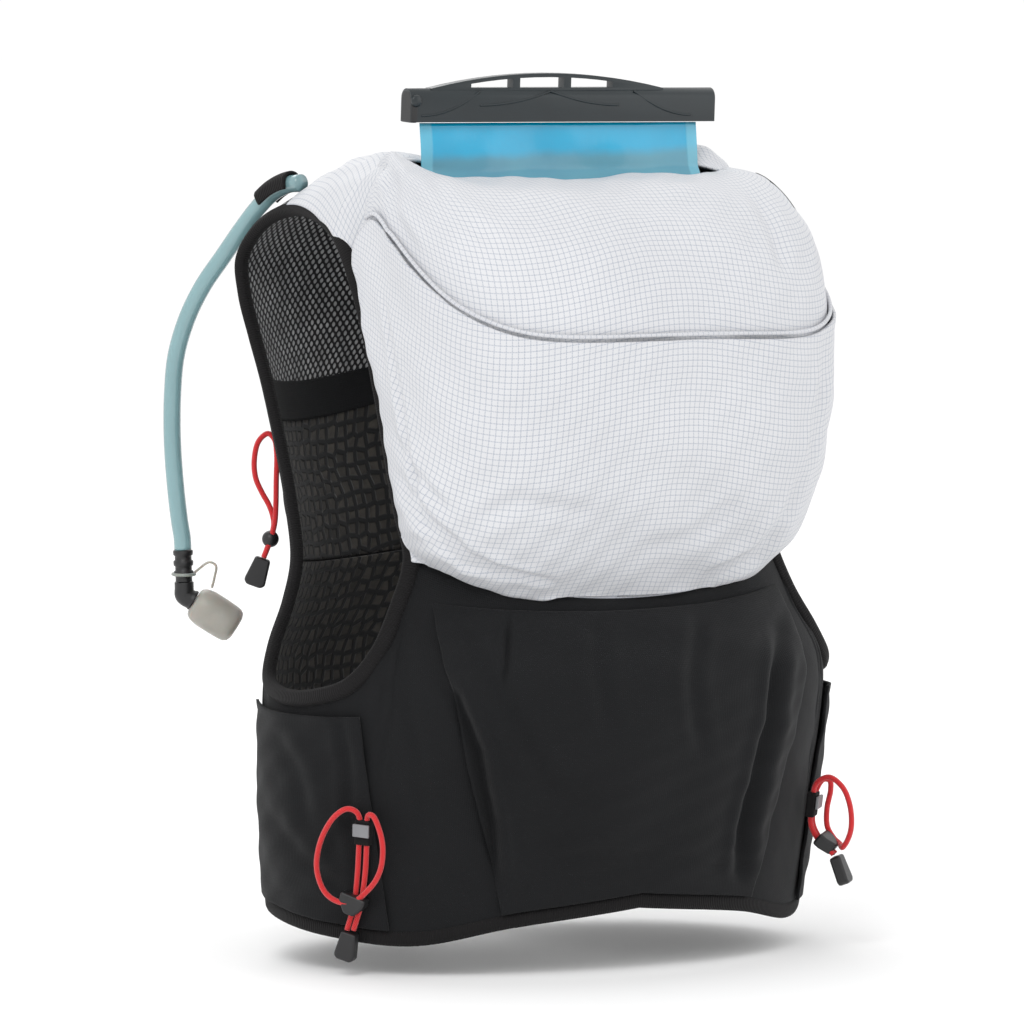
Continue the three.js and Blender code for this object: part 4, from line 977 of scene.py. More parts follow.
def lining_grid(side):
    """The front mesh carried on inside the body, down from its upper edge."""
    whole = lower_body_grid()
    half = whole[whole.shape[0] // 2:]
    front = half[torso_angle(half[:, 0]) > 0.55 * np.pi]
    return mirrored(front[:, :BODY_ROWS // 2], side)


def hem_grid():
    angle = torso_angle(upper_edge())
    angle = np.concatenate([-angle[:0:-1], angle])[:, None]
    rise = np.linspace(0, HEM_HEIGHT, HEM_ROWS)[None]
    return torso(angle + 0 * rise, hem_height(angle) + rise)


def pocket_grid(start, end, top, slack, side, columns, rows):
    """A layer over the body between two edges, swelling in its middle."""
    across = np.linspace(0, 1, columns)[:, None]
    down = np.linspace(0, 1, rows)[None]
    angle = mix(start(down), end(down), across)
    low = hem_height(angle) + HEM_HEIGHT + BUTT_GAP
    height = mix(top(across), low, down)
    swell = np.sin(np.pi * across) ** 0.7 * np.maximum(np.sin(np.pi * np.minimum(down + 0.1, 1)), 0) ** 0.8
    near = torso(angle, height)
    outward = unit(near * np.array([1.0, 1.6, 0.0]))
    return mirrored(near + outward * (LAYER_GAP + POCKET_LIFT + CLOTH + slack * swell)[..., None], side)


# Folds: a line of pixels, its half width in pixels and its depth in millimetres
BODY_FOLDS = (
    (((429, 656), (456, 694), (478, 751), (491, 815), (497, 879), (499, 911)), 7, 4.2),
    (((775, 617), (781, 633), (771, 719), (755, 783), (743, 831), (741, 863), (739, 895)), 7, 4.0),
    (((510, 595), (508, 640), (505, 688)), 3, 1.8),
    (((440, 600), (470, 640), (520, 720), (560, 800)), 9, 1.3),
    (((600, 600), (596, 660), (612, 740)), 9, 0.9),
    (((700, 600), (690, 680), (702, 760)), 8, 1.0),
    (((400, 600), (408, 680), (420, 760), (424, 860)), 7, 1.6),
    (((540, 860), (620, 850), (710, 862)), 9, 0.8),
)
FLANK_FOLDS = (
    (((270, 720), (300, 770), (310, 830)), 8, 1.1),
    (((340, 700), (350, 760), (352, 820), (364, 890)), 6, 1.3),
    (((262, 800), (300, 850), (360, 900)), 8, 0.9),
)
PACK_FOLDS = (
    (((388, 292), (401, 372), (424, 494), (440, 552)), 3, 1.3),
    (((404, 470), (432, 520), (470, 556), (520, 574)), 6, 1.8),
    (((398, 430), (420, 470), (452, 512)), 5, 1.0),
    (((430, 535), (470, 560), (560, 578)), 4, 1.2),
    (((782, 520), (752, 552), (700, 576)), 6, 1.6),
    (((800, 470), (782, 508), (754, 540)), 5, 1.1),
    (((822, 330), (815, 400), (804, 470)), 4, 0.9),
    (((470, 520), (520, 500), (600, 512)), 9, 0.7),
    (((640, 548), (690, 530), (740, 500)), 8, 0.8),
)
UPPER_PACK_FOLDS = (
    (((392, 168), (396, 220), (420, 262)), 6, 1.4),
    (((430, 178), (450, 215), (500, 252)), 8, 0.8),
    (((745, 185), (770, 226), (786, 280)), 7, 1.2),
    (((560, 200), (640, 212), (720, 204)), 9, 0.6),
    (((350, 180), (362, 210), (372, 250)), 5, 1.1),
)


# Waves of each cloth: a height, a wavelength, a direction and a start
BODY_WAVES = ((0.35, 47, 0.4, 0.0), (0.25, 29, 1.9, 1.0), (0.12, 13, 2.6, 2.0))
BACK_POCKET_WAVES = ((0.5, 61, 0.3, 0.4), (0.3, 33, 2.0, 0.9), (0.15, 15, 1.2, 0.0))
SIDE_POCKET_WAVES = ((0.3, 31, 0.8, 0.0), (0.2, 17, 2.2, 1.0))
YOKE_WAVES = ((0.5, 23, 0.7, 0.0), (0.35, 14, 2.1, 1.2))
FRONT_POCKET_WAVES = ((0.4, 19, 0.9, 0.0), (0.3, 31, 2.0, 0.6))
PACK_WAVES = ((0.45, 71, 0.2, 0.5), (0.3, 39, 1.1, 0.2), (0.15, 18, 2.4, 0.7))


def folds(grid, centre, lines, waves):
    """The folds of a grid of cloth, with low waves over the rest of it."""
    facing = normals(grid, centre)
    total = crease_depth(grid, facing, lines) + ripple(distances(grid), waves)
    return total * settings().fold_depth


class VEST_OT_body(bpy.types.Operator):
    """Lower body, back pocket, side pockets and hem"""

    bl_idname = "vest.body"
    bl_label = "Body"

    def execute(self, context):
        grid = lower_body_grid()
        relief = np.minimum(folds(grid, BODY_CENTRE, BODY_FOLDS, BODY_WAVES), 0.4) * 0.5
        fade = np.clip(np.linspace(0, 6, BODY_ROWS), 0, 1)
        relief = relief * fade * fade[::-1]
        add_sheet(
            "body_cloth", grid, BODY_CENTRE, 0, CLOTH, relief,
            "black_cloth", "lower_body",
        )
        self.add_back_pocket()
        for label, side in SIDES:
            self.add_side_pocket(label, side)
        hem = hem_grid()
        round_edge = 0.8 * np.sin(np.linspace(0, np.pi, HEM_ROWS)) ** 0.5
        relief = np.broadcast_to(round_edge, hem.shape[:2])
        strip = add_cloth("hem_strip", hem, BODY_CENTRE, 0.2, HEM_THICKNESS - 0.8, relief)
        dress(strip, "binding", "hem_band")
        return {"FINISHED"}

    def add_back_pocket(self):
        """A pocket under the pack, flatter at its edges and sunk where the pack's seam holds it."""
        def turn(down):
            return mix(0.275, 0.165, down**0.8) * np.pi

        grid = pocket_grid(
            lambda down: -turn(down),
            turn,
            lambda across: mix(PACK_SEAM_DOWN, 0.52, np.abs(2 * across - 1) ** 2) * -LENGTH - 4,
            9, 1, 200, BACK_POCKET_ROWS,
        )
        down = np.linspace(0, 1, BACK_POCKET_ROWS)
        relief = folds(grid, BODY_CENTRE, BODY_FOLDS, BACK_POCKET_WAVES)
        relief = relief * np.clip(np.minimum(down, down[::-1]) * 12, 0.25, 1)[None]
        relief = relief - 3.3 * np.clip(1 - down * 14, 0, 1)[None] ** 1.5
        add_sheet(
            "back_pocket_cloth", grid, BODY_CENTRE, 0, CLOTH, relief,
            "black_cloth", "back_pocket",
        )

    def add_side_pocket(self, label, side):
        """A pocket on the flank with a raised edge at its mouth."""
        grid = pocket_grid(
            lambda down: mix(0.352, 0.305, down) * np.pi,
            lambda down: mix(0.62, 0.63, down) * np.pi,
            lambda across: -0.685 * LENGTH - 6 * across * (1 - across),
            4, side, 110, SIDE_POCKET_ROWS,
        )
        relief = folds(grid, BODY_CENTRE, FLANK_FOLDS, SIDE_POCKET_WAVES) * 0.8
        relief = relief + np.clip(1 - np.linspace(0, 25, SIDE_POCKET_ROWS), 0, 1)[None] ** 0.5 * 0.9
        add_sheet(
            f"side_pocket_cloth_{label}", grid, BODY_CENTRE, 0, CLOTH, relief,
            "black_cloth", f"side_pocket_{label}",
        )


# Straps, front panels, yokes and the back panel


def strap_grid(start, end, rows, columns, lifted, side):
    row = np.linspace(start, end, rows)[:, None]
    across = np.linspace(0, 1, columns)[None]
    return mirrored(strap_point(row, across, lifted), side)


YOKE_COLUMNS = 60
YOKE_ROWS = 70
YOKE_BACK_ROWS = 24


def yoke_grid(side):
    """The strap's lifted form from its second row to its first, then drawn back over the pack's mouth."""
    across = np.linspace(0, 1, YOKE_COLUMNS)
    row = np.linspace(2, 0.1, YOKE_ROWS)[:, None]
    over = mirrored(strap_point(row, across[None], True), side)
    seam = pack_point(side * mix(0.99, 0.72, across), mix(0.90, 0.962, across))
    share = np.linspace(0, 1, YOKE_BACK_ROWS)[1:, None, None]
    return np.concatenate([over, mix(over[-1][None], seam[None], share)])


def front_pocket_grid(side):
    """A layer over the front panel that swells away from it, from its mouth to its foot."""
    row = np.linspace(8.4, 9.85, 60)[:, None]
    across = np.linspace(0.2, 0.86, 60)[None]
    outward = strap_point(row, across + 0.02) - strap_point(row, across - 0.02)
    outward = unit(vec(outward[..., 1], -outward[..., 0], 0))
    outward = outward * np.where(outward[..., 1:2] < 0, -1, 1)
    edge = np.maximum(np.sin(np.pi * (across - 0.2) / 0.66), 0) ** 0.6
    fill = np.sin(np.pi * np.minimum((row - 8.1) / 1.9, 1)) ** 0.7
    raised = SPACED_MESH / 2 + 0.2 + 11 * edge * fill
    return mirrored(strap_point(row, across) + outward * raised[..., None], side)


def back_panel_grid():
    """A patch between the foot, the head and the two sides, each blended across the patch."""
    inward = np.array([-0.5, 0.85, 0.0]) * BINDING_THICKNESS / 3

    def middle(up):
        at = mix(PANEL_FOOT, PANEL_HEAD, up)
        return from_shares(0 * at, -PANEL_MIDDLE.along(at, "reach"), at)

    def side(up):
        return back_edge(mix(ARMHOLE_FOOT - 0.02, ARMHOLE_HEAD, up)) + inward

    def foot(across):
        point = mix(middle(0.0), side(0.0), across[..., None])
        point[..., 1] = mix(middle(0.0)[1], side(0.0)[1], across**2.2)
        return point

    def head(across):
        turn = 0.55
        neck = strap_inner(0.0) + np.array([0, -SPACED_MESH / 2, 0])
        first = np.clip(across / turn, 0, 1)[..., None]
        second = np.clip((across - turn) / (1 - turn), 0, 1)[..., None]
        point = np.where(second > 0, mix(neck, side(1.0), second), mix(middle(1.0), neck, first))
        bend = mix(middle(1.0)[1], neck[1], first[..., 0] ** 2)
        point[..., 1] = np.where(second[..., 0] > 0, point[..., 1], bend)
        point[..., 2] += 2 * np.sin(np.pi * second[..., 0])
        return point

    place = np.linspace(-1, 1, 121)[:, None]
    up = np.linspace(0, 1, 80)[None]
    across = np.abs(place) + 0 * up
    up = up + 0 * place
    a = across[..., None]
    b = up[..., None]
    point = foot(across) * (1 - b) + head(across) * b
    point = point + middle(up) * (1 - a) + side(up) * a
    point = point - middle(0.0) * (1 - a) * (1 - b) - side(0.0) * a * (1 - b)
    point = point - middle(1.0) * (1 - a) * b - side(1.0) * a * b
    point[..., 0] *= np.where(place < 0, -1, 1)
    return point


class VEST_OT_straps(bpy.types.Operator):
    """Shoulder straps, front panels and pockets, yokes and back panel"""

    bl_idname = "vest.straps"
    bl_label = "Straps and panels"

    def execute(self, context):
        half = SPACED_MESH / 2
        for label, side in SIDES:
            centre = mirrored(CHEST_CENTRE, side)
            strap = strap_grid(0.06, STRAP_END, 110, 44, False, side)
            strap = add_cloth(f"strap_mesh_{label}", strap, centre, half, half)
            dress(strap, "spaced_mesh", f"shoulder_strap_{label}")
            lining = add_cloth(f"front_lining_{label}", lining_grid(side), BODY_CENTRE, -1.9, 3.4)
            dress(lining, "open_mesh")
            panel = strap_grid(STRAP_END + 0.01, LAST_ROW, 60, 44, False, side)
            panel = add_cloth(f"front_mesh_{label}", panel, centre, half, half)
            dress(panel, "open_mesh", f"front_panel_{label}")
            band = strap_grid(STRAP_END - 0.42, STRAP_END + 0.12, 16, 60, False, side)
            band = add_cloth(f"strap_seam_band_{label}", band, centre, half + 0.7, half + 0.7)
            dress(band, "black_cloth")
            self.add_yoke(label, side, centre)
            pocket = front_pocket_grid(side)
            relief = ripple(distances(pocket), FRONT_POCKET_WAVES)
            add_sheet(
                f"front_pocket_cloth_{label}", pocket, centre, CLOTH, 0, relief,
                "black_cloth", f"front_pocket_{label}",
            )
        back = add_cloth("back_mesh", back_panel_grid(), np.array([0, 0, -0.25 * LENGTH]), half, half)
        dress(back, "spaced_mesh", "back_panel")
        return {"FINISHED"}

    def add_yoke(self, label, side, centre):
        """White cloth over the shoulder, whose rear rows sink onto the pack."""
        grid = yoke_grid(side)
        raise_by = SPACED_MESH / 2 + LAYER_GAP
        relief = ripple(distances(grid), YOKE_WAVES) * np.sin(np.linspace(0, np.pi, YOKE_COLUMNS))[None]
        behind = (np.arange(len(grid)) - (YOKE_ROWS - 1)) / (YOKE_BACK_ROWS - 1)
        sink = np.clip(behind, 0, 1)[:, None] ** 1.5
        relief = relief * (1 - sink) - (raise_by + PACK_CLOTH + 0.9) * sink
        add_sheet(
            f"yoke_cloth_{label}", grid, centre, raise_by + PACK_CLOTH, -raise_by, relief,
            "white_cloth", f"yoke_{label}",
        )


# Bindings


def armhole_line():
    up = np.linspace(ARMHOLE_FOOT, ARMHOLE_HEAD, 8)[:-1]
    points = [back_edge(up), strap_outer(np.arange(LAST_ROW + 1.0)), underarm_points()]
    return np.concatenate(points)


def neck_line():
    right = strap_inner(np.arange(LAST_ROW, -1.0, -1.0))
    right[0, 2] += 2
    nape = from_shares(0.0, -0.215, PANEL_HEAD)[None]
    return np.concatenate([right, nape, mirrored(right, -1)[::-1]])


BINDING_SIDES = 28


def add_binding(name, line, closed, width, thickness, count):
    """An oval with flattened sides carried along an edge, its width across the cloth."""
    path = spline(line, count, closed)
    onward = onward_along(path, closed)
    core = vec(
        np.sign(path[:, 0]) * np.minimum(np.abs(path[:, 0]), 0.4 * CHEST_WIDTH),
        0.08 * CHEST_DEPTH,
        np.minimum(path[:, 2], -0.15 * LENGTH),
    )
    across = unit(np.cross(onward, path - core))
    outward = unit(np.cross(across, onward))
    angle = circle_angles(BINDING_SIDES)
    sideways = np.sign(np.cos(angle)) * np.abs(np.cos(angle)) ** 0.75
    upward = np.sin(angle) * (1 - 0.16 * np.exp(-((np.cos(angle) + 0.35) / 0.12) ** 2))
    rings = path[:, None] + across[:, None] * (width / 2 * sideways)[None, :, None]
    rings = rings + outward[:, None] * (thickness / 2 * upward)[None, :, None]
    run = travelled(np.concatenate([path, path[:1]]) if closed else path)
    return add_loft(name, rings, run, closed)


class VEST_OT_bindings(bpy.types.Operator):
    """Bindings round the armholes and the neck"""

    bl_idname = "vest.bindings"
    bl_label = "Bindings"

    def execute(self, context):
        for label, side in SIDES:
            line = mirrored(armhole_line(), side)
            edge = add_binding(f"armhole_edge_{label}", line, True, BINDING_WIDTH, BINDING_THICKNESS, 320)
            dress(edge, "binding", f"armhole_binding_{label}")
        edge = add_binding("neck_edge", neck_line(), False, NECK_BINDING_WIDTH, BINDING_THICKNESS - 1, 300)
        dress(edge, "binding", "neck_binding")
        return {"FINISHED"}


# Pack


PACK_CENTRE = np.array([0.0, -0.4 * PACK_REACH, -0.25 * LENGTH])
PACK_COLUMNS = 221
PACK_ROWS = 150
PACK_POCKET_ROWS = 130


def pack_point(place, up):
    """A rounded back whose sides turn in towards the armhole's back edge. Place runs from -1 to 1."""
    place, up = np.broadcast_arrays(np.asarray(place, dtype=float), np.asarray(up, dtype=float))
    across = np.abs(place)
    side = np.where(place < 0, -1.0, 1.0)
    middle_y = -PACK.along(up, "centre_reach") * PACK_REACH
    middle_z = -PACK.along(up, "centre_down") * LENGTH
    wide_x = PACK.along(up, "width") * PACK_WIDTH
    wide_y = -PACK.along(up, "side_reach") * PACK_REACH
    wide_z = -PACK.along(up, "side_down") * LENGTH - PACK_LEAN * side * up**2
    outward = np.array([0.5, -0.85, 0]) * BINDING_THICKNESS / 4
    edge = back_edge(mix(ARMHOLE_FOOT, ARMHOLE_HEAD, up)) + outward
    share = np.clip(across / TUCK, 0, 1)
    power = 2 / PACK.along(up, "power")
    back = np.maximum(np.cos(share * np.pi / 2), 0) ** power
    spread = np.sin(share * np.pi / 2) ** power
    behind = vec(wide_x * spread, mix(wide_y, middle_y, back), mix(middle_z, wide_z, share**2))
    turn = np.clip((across - TUCK) / (1 - TUCK), 0, 1) * np.pi / 2
    beside = vec(
        mix(edge[..., 0], wide_x, np.cos(turn)),
        mix(wide_y, edge[..., 1], np.sin(turn)),
        mix(edge[..., 2], wide_z, np.cos(turn)),
    )
    point = np.where((across <= TUCK)[..., None], behind, beside)
    settle = (np.maximum(1 - up / PACK_FOOT, 0) ** 2)[..., None]
    point = mix(point, pack_seam_point(across) + np.array([0, -LAYER_GAP, BUTT_GAP]), settle)
    point[..., 0] *= side
    return point


def mouth_up(place):
    return MOUTH.along(np.abs(place), "up") - MOUTH_SLANT * place


class VEST_OT_pack(bpy.types.Operator):
    """White pack, its outer pocket and piping"""

    bl_idname = "vest.pack"
    bl_label = "Pack"

    def execute(self, context):
        place = np.linspace(-1, 1, PACK_COLUMNS)[:, None]
        up = np.linspace(0.004, 1, PACK_ROWS)[None]
        grid = pack_point(place, up)
        relief = folds(grid, PACK_CENTRE, UPPER_PACK_FOLDS, PACK_WAVES) * 1.3
        free = np.clip((up - mouth_up(place)) * 12, 0, 1)
        hem = np.clip((up - 0.972) * 200, 0, 1) * 0.8
        relief = relief * free + hem
        add_sheet(
            "pack_cloth", grid, PACK_CENTRE, 0, PACK_CLOTH, relief,
            "white_cloth", "pack_body",
        )
        self.add_pocket()
        self.add_piping()
        return {"FINISHED"}

    def add_pocket(self):
        """The outer layer, up to the slanted mouth and with a thicker edge there."""
        place = np.linspace(-0.985, 0.985, PACK_COLUMNS)[:, None]
        up = mix(0.006, mouth_up(place), np.linspace(0, 1, PACK_POCKET_ROWS)[None])
        grid = pack_point(place, up)
        relief = np.maximum(folds(grid, PACK_CENTRE, PACK_FOLDS, PACK_WAVES) * 1.4, -1.9)
        relief = relief + np.clip(np.linspace(-24, 1, PACK_POCKET_ROWS), 0, 1)[None] * 0.5
        outer = LAYER_GAP + PACK_CLOTH + 0.3
        add_sheet(
            "pack_pocket_cloth", grid, PACK_CENTRE, outer, -LAYER_GAP, relief + 0.5,
            "white_cloth", "pack_pocket",
        )

    def add_piping(self):
        """A thin roll along the pocket's mouth."""
        along = np.linspace(-0.87, 0.97, 200)[:, None]
        near = pack_point(along + np.array([[-0.004, 0.0, 0.004]]), mouth_up(along) + 0.012)
        higher = pack_point(along, mouth_up(along) + 0.02)[:, 0]
        facing = unit(np.cross(near[:, 2] - near[:, 0], higher - near[:, 1]))
        facing = facing * np.sign(np.sum(facing * (near[:, 1] - PACK_CENTRE), axis=-1))[:, None]
        dress(add_tube("mouth_piping", near[:, 1] + facing * 2.0, 2.2, 14), "white_cloth", "pocket_piping")


# Bladder and closure


BLADDER_SIDES = 96
# Ribs of the closure's windows: start and end across it, and height of the foot
CLOSURE_RIBS = ((-88, -52, 3.5), (-52, -8, 9.0), (34, -8, 9.0), (80, 44, 3.5))
CLOSURE_CAP = ((-5.8, -0.3), (5.8, -0.3), (5.8, 12.5), (3.6, 17.0), (-3.6, 17.0), (-5.8, 12.5))
CLOSURE_KNOB = ((0.01, 0), (3.0, 0), (3.2, 0.4), (3.2, 1.2), (2.6, 1.8), (0.01, 2.0))


def bladder_rings(places, around=BLADDER_SIDES):
    """Flattened rings from the bag's foot to its folded mouth, tilted with the closure at the top."""
    at = places[:, None]
    angle = circle_angles(around)[None]
    panel = -PANEL_MIDDLE.along(np.maximum(at, PANEL_HEAD), "reach") * CHEST_DEPTH
    middle = panel - BLADDER.along(at, "behind") * BLADDER_THICKNESS
    half_width = BLADDER.along(at, "width") * BLADDER_WIDTH / 2
    half_thick = np.maximum(BLADDER.along(at, "thick") * BLADDER_THICKNESS / 2, 0.3)
    tilt = np.clip(1 - (at - BLADDER_TOP) / 0.15, 0, 1)
    sideways = np.sign(np.cos(angle)) * np.abs(np.cos(angle)) ** 0.75
    deep = np.sign(np.sin(angle)) * np.abs(np.sin(angle)) ** 0.75
    x = half_width * sideways
    return vec(x, middle + half_thick * deep, -at * LENGTH - CLOSURE_TILT * tilt * x)


def closure_matrix():
    top = bladder_rings(np.array([BLADDER_TOP]), 12)[0]
    middle = Vector((0, (top[3, 1] + top[9, 1]) / 2, CLOSURE_RISE))
    return np.array(Matrix.Translation(middle) @ Matrix.Rotation(CLOSURE_TILT, 4, "Y"))


def placed(matrix, points):
    return np.asarray(points, dtype=float) @ matrix[:3, :3].T + matrix[:3, 3]


class VEST_OT_bladder(bpy.types.Operator):
    """Bladder and its slide closure"""

    bl_idname = "vest.bladder"
    bl_label = "Bladder"

    def execute(self, context):
        places = np.linspace(0.455, BLADDER_TOP, 110)
        rings = bladder_rings(places)
        shown = np.clip((0.02 - places) / 0.05, 0, 1)[:, None]
        x = rings[..., 0]
        z = rings[..., 2]
        wave = 0.7 * np.sin(x / 14 + z / 11) + 0.45 * np.sin(x / 7 - z / 9 + 1)
        rings[..., 1] += wave * shown * np.clip((39 - z) / 14, 0, 1)
        dress(add_loft("bladder_bag", rings, places * LENGTH), "film", "bladder")
        dress(frame_copy("slide_closure", "bladder_closure", 0.7), "smoke_plastic", "bladder_closure")
        self.add_closure_details(closure_matrix())
        return {"FINISHED"}

    def add_closure_details(self, matrix):
        """Ribs on the closure's back, a cap on its left end and the knob on that."""
        share = np.linspace(0, 1, 40)
        for k, (start, end, low) in enumerate(CLOSURE_RIBS):
            line = vec(mix(start, end, share), -5.4 + 0.9 * share**4, low + (16.5 - low) * share**2)
            dress(add_tube(f"closure_rib_{k}", placed(matrix, line), 1.3, 10), "smoke_plastic")
        turn = basis((0, 1, 0), (0, 0, 1), (1, 0, 0), (-92.4, 0, 0))
        dress(add_slab("closure_cap", CLOSURE_CAP, 4.4, matrix @ turn, 1.0), "black_plastic")
        seat = placed(matrix, (-91.5, -5.0, 11.5))
        knob = add_turned("closure_knob", CLOSURE_KNOB, seat, turned_by(matrix, (0, -1, 0)), 32)
        dress(knob, "smoke_plastic")


# Hose and valve


HOSE_ROUTE = (
    (-111, 53, 4.6), (-113.5, 63, 3.2), (-116.5, 74, -1.5), (-120, 85, -10.5), (-124.5, 95.5, -23),
    (-130, 106, -38), (-138, 115, -55), (-144, 122, -73), (-149, 125, -93), (-151, 125.5, -114),
    (-152, 124, -139), (-152, 120.5, -164), (-151, 117.5, -184), (-150.3, 116.4, -191), (-150, 116, -198),
)
FITTING_LENGTH = 17
FITTING_BARBS = 3
# Radius and height of the valve's cover, from its foot to its mouth
COVER_PROFILE = (
    (0.01, 0), (6.6, 0), (8.0, 0.6), (9.2, 2.2), (10.0, 4.5), (10.5, 7.5), (10.5, 15), (10.3, 21),
    (9.9, 24), (8.6, 26), (6.2, 27), (3.4, 27), (3.0, 26.2), (0.01, 26.0),
)
# The leash's route from the fitting's start to the cover
LEASH_ROUTE = ((5.5, -3.2, -12), (12.5, -7.2, -6.5), (15.5, -9, -8.5), (15, -8.6, -14), (13.4, -8.2, -20.5))
# The hose loop's section over the hose, in radii: sideways and up
LOOP_SECTION = (
    (-1.5, -0.75), (-1.08, -0.35), (-1, 0.1), (-0.72, 0.72),
    (0, 1.02), (0.72, 0.72), (1, 0.1), (1.08, -0.3),
)
LOOP_WIDTH = 24


class VEST_OT_hose(bpy.types.Operator):
    """Drinking hose with its loop, fitting, valve and leash"""

    bl_idname = "vest.hose"
    bl_label = "Hose"

    def execute(self, context):
        path = spline(HOSE_ROUTE, 140)
        hose = dress(add_tube("drinking_hose", path, HOSE_DIAMETER, 32), "hose", "hose")
        start = np.array(HOSE_ROUTE[-1]) + np.array([0, 0, -BUTT_GAP])
        down = unit(np.array([0.02, -0.03, -1.0]))
        radius = HOSE_DIAMETER / 2
        profile = [(0.01, 0)]
        for low in np.arange(FITTING_BARBS) * FITTING_LENGTH / FITTING_BARBS:
            profile += [(radius + 0.5, low), (radius + 0.7, low + 0.5), (radius + 0.6, low + 2.4)]
            profile += [(radius - 0.2, low + 3.0), (radius - 0.2, low + 5.2)]
        profile += [(radius, FITTING_LENGTH), (0.01, FITTING_LENGTH)]
        fitting = dress(add_turned("barbed_fitting", profile, start, down), "black_plastic", "hose_fitting")
        elbow_start = start + down * (FITTING_LENGTH + BUTT_GAP)
        axis = unit(np.array([0.73, -0.42, -0.54]))
        bend = elbow_start + down * 7
        valve_start = bend + axis * 6
        route = spline([elbow_start, elbow_start + down * 3.5, bend, valve_start], 40)
        swell = 5.25 + 0.5 * np.exp(-((np.linspace(0, 1, 40) - 0.95) / 0.06) ** 2)
        elbow = dress(add_tube("elbow", route, 10.5, 32, swell), "black_plastic", "valve_elbow")
        cover = add_turned("valve_cap", COVER_PROFILE, valve_start + axis * BUTT_GAP, axis)
        dress(cover, "silicone", "valve_cover")
        leash = add_tube("leash_strand", spline(start + np.array(LEASH_ROUTE), 60), 1.4, 12)
        dress(leash, "silicone", "valve_leash")
        turn = np.linspace(0, 2 * np.pi, 60, endpoint=False)
        ring = start + down * 13.0 + vec(5.9 * np.cos(turn), 5.9 * np.sin(turn), 0 * turn)
        ring = np.concatenate([ring, ring[:1]])
        collar = dress(add_tube("leash_ring", ring, 1.8, 12), "silicone")
        self.add_loop()
        return {"FINISHED"}

    def add_loop(self):
        """A band bent over the hose, with both feet on the strap."""
        route = spline(HOSE_ROUTE, 400)
        first = 0.03
        share = np.linspace(first, first + LOOP_WIDTH / length_of(route), 24)
        point = np.stack([np.interp(share, np.linspace(0, 1, 400), route[:, k]) for k in range(3)], axis=-1)
        onward = onward_along(point)
        lift = np.cross(-unit(np.cross([-0.25, 0.2, 1.0], onward)), onward)
        lift = unit(lift * np.where(lift[:, 2:] < 0, -1, 1))
        sideways = unit(np.cross(lift, onward))
        curve = spline(np.column_stack([LOOP_SECTION, np.zeros(len(LOOP_SECTION))]), 50)
        radius = HOSE_DIAMETER / 2 + LAYER_GAP
        grid = point[:, None] + sideways[:, None] * (curve[:, 0] * radius)[None, :, None]
        grid = grid + lift[:, None] * (curve[:, 1] * radius)[None, :, None]
        dress(add_cloth("hose_band", grid, np.array([-113.5, 63, -17]), 1.6, 0), "binding", "hose_loop")


# Elastic cords


WAIST_TURN = {"left": 0.338, "right": 0.29}
WAIST_DOWN = 0.826
KEEPER_SEAT = LAYER_GAP + POCKET_LIFT + CLOTH + 0.7
WAIST_ROUTES = {
    "left": (
        (-8.5, 61, 3.4), (-4.7, 47, 3.4), (-3, 30, 3.3), (-2.4, 13, 3.2), (-1.9, 1, 3.2), (-3.6, -4.5, 4.4),
        (-8, -6.4, 6), (-14.7, -2.4, 7), (-22.3, 10.3, 7.4), (-25.2, 25.4, 7.2), (-22.9, 35.6, 7),
        (-18.8, 41.6, 7.2), (-13, 44.8, 7.6), (-6, 45.6, 7.8), (-1.5, 43.8, 7.6), (4, 38.7, 7),
        (9, 32.5, 6.8), (12.3, 24.3, 7), (12.9, 13, 7), (10, 2.7, 6.5), (6.2, -3, 5.2), (3.4, -3.4, 4.2),
        (1.9, 1, 3.2), (2, 13, 3.2), (1.4, 30, 3.3), (-0.9, 47, 3.4), (-4.8, 61, 3.4),
    ),
    "right": (
        (-2, 34, 18.8), (-2, 31, 15), (-2, 27, 10), (-2, 19, 4.6), (-1.9, 13, 3.3), (-1.9, 1, 3.3),
        (-3.6, -5.5, 5), (-5, -9.2, 12), (-6, -3.8, 20.5), (-6.5, 6.5, 26), (-6.5, 18.4, 28), (-6, 26, 26.4),
        (-4.6, 29.6, 24), (-2, 29.6, 22.6), (2, 28.6, 20.6), (6.6, 26, 15.5), (7.6, 20, 11),
        (7.4, 10, 9.6), (7, -1, 10.5), (6, -6, 9.6), (3.8, -6.6, 6.4), (1.9, 1, 3.3), (1.9, 13, 3.3),
        (1.9, 19, 4.6), (1.9, 27, 10), (1.9, 31, 15), (1.9, 34, 18.8),
    ),
}
WAIST_HARDWARE = {
    "left": ((-4.6, 46.5, 5.6), (0.27, -1, 0), (-6.65, 62.2, 3.4), (0.2, -1, 0)),
    "right": ((0, 28.0, 13.9), (0, -0.62, -0.78), (-0.05, 35.2, 19.8), (0, -0.89, -0.45)),
}
CHEST_ROUTE = (
    (-6, 61, 11.4), (-6, 51, 7.6), (-6, 42, 5.4), (-5.5, 33, 4.8), (-4, 20, 4.6), (-2, 4, 4.4),
    (-1.5, -3, 5.6), (-0.5, -6, 9), (0, -2, 14), (0, 8, 16.5), (-0.5, 18, 15.8), (-1, 26, 12.4),
    (-1.5, 32, 9), (-2, 37, 7), (-2, 43, 6), (-2, 51, 7.8), (-2, 61, 11.4),
)
CORD_END = ((-4.25, 0), (4.25, 0), (6, -14), (4, -16), (-4, -16), (-6, -14))
HOOK = ((-7.5, 5.5), (-7.5, 1.1), (-3, -5.5), (3, -5.5), (7.5, 1.1), (7.5, 5.5))
ZIP_TAB = ((-1.8, 0), (1.8, 0), (4, -9), (2, -12), (-2, -12), (-4, -9))


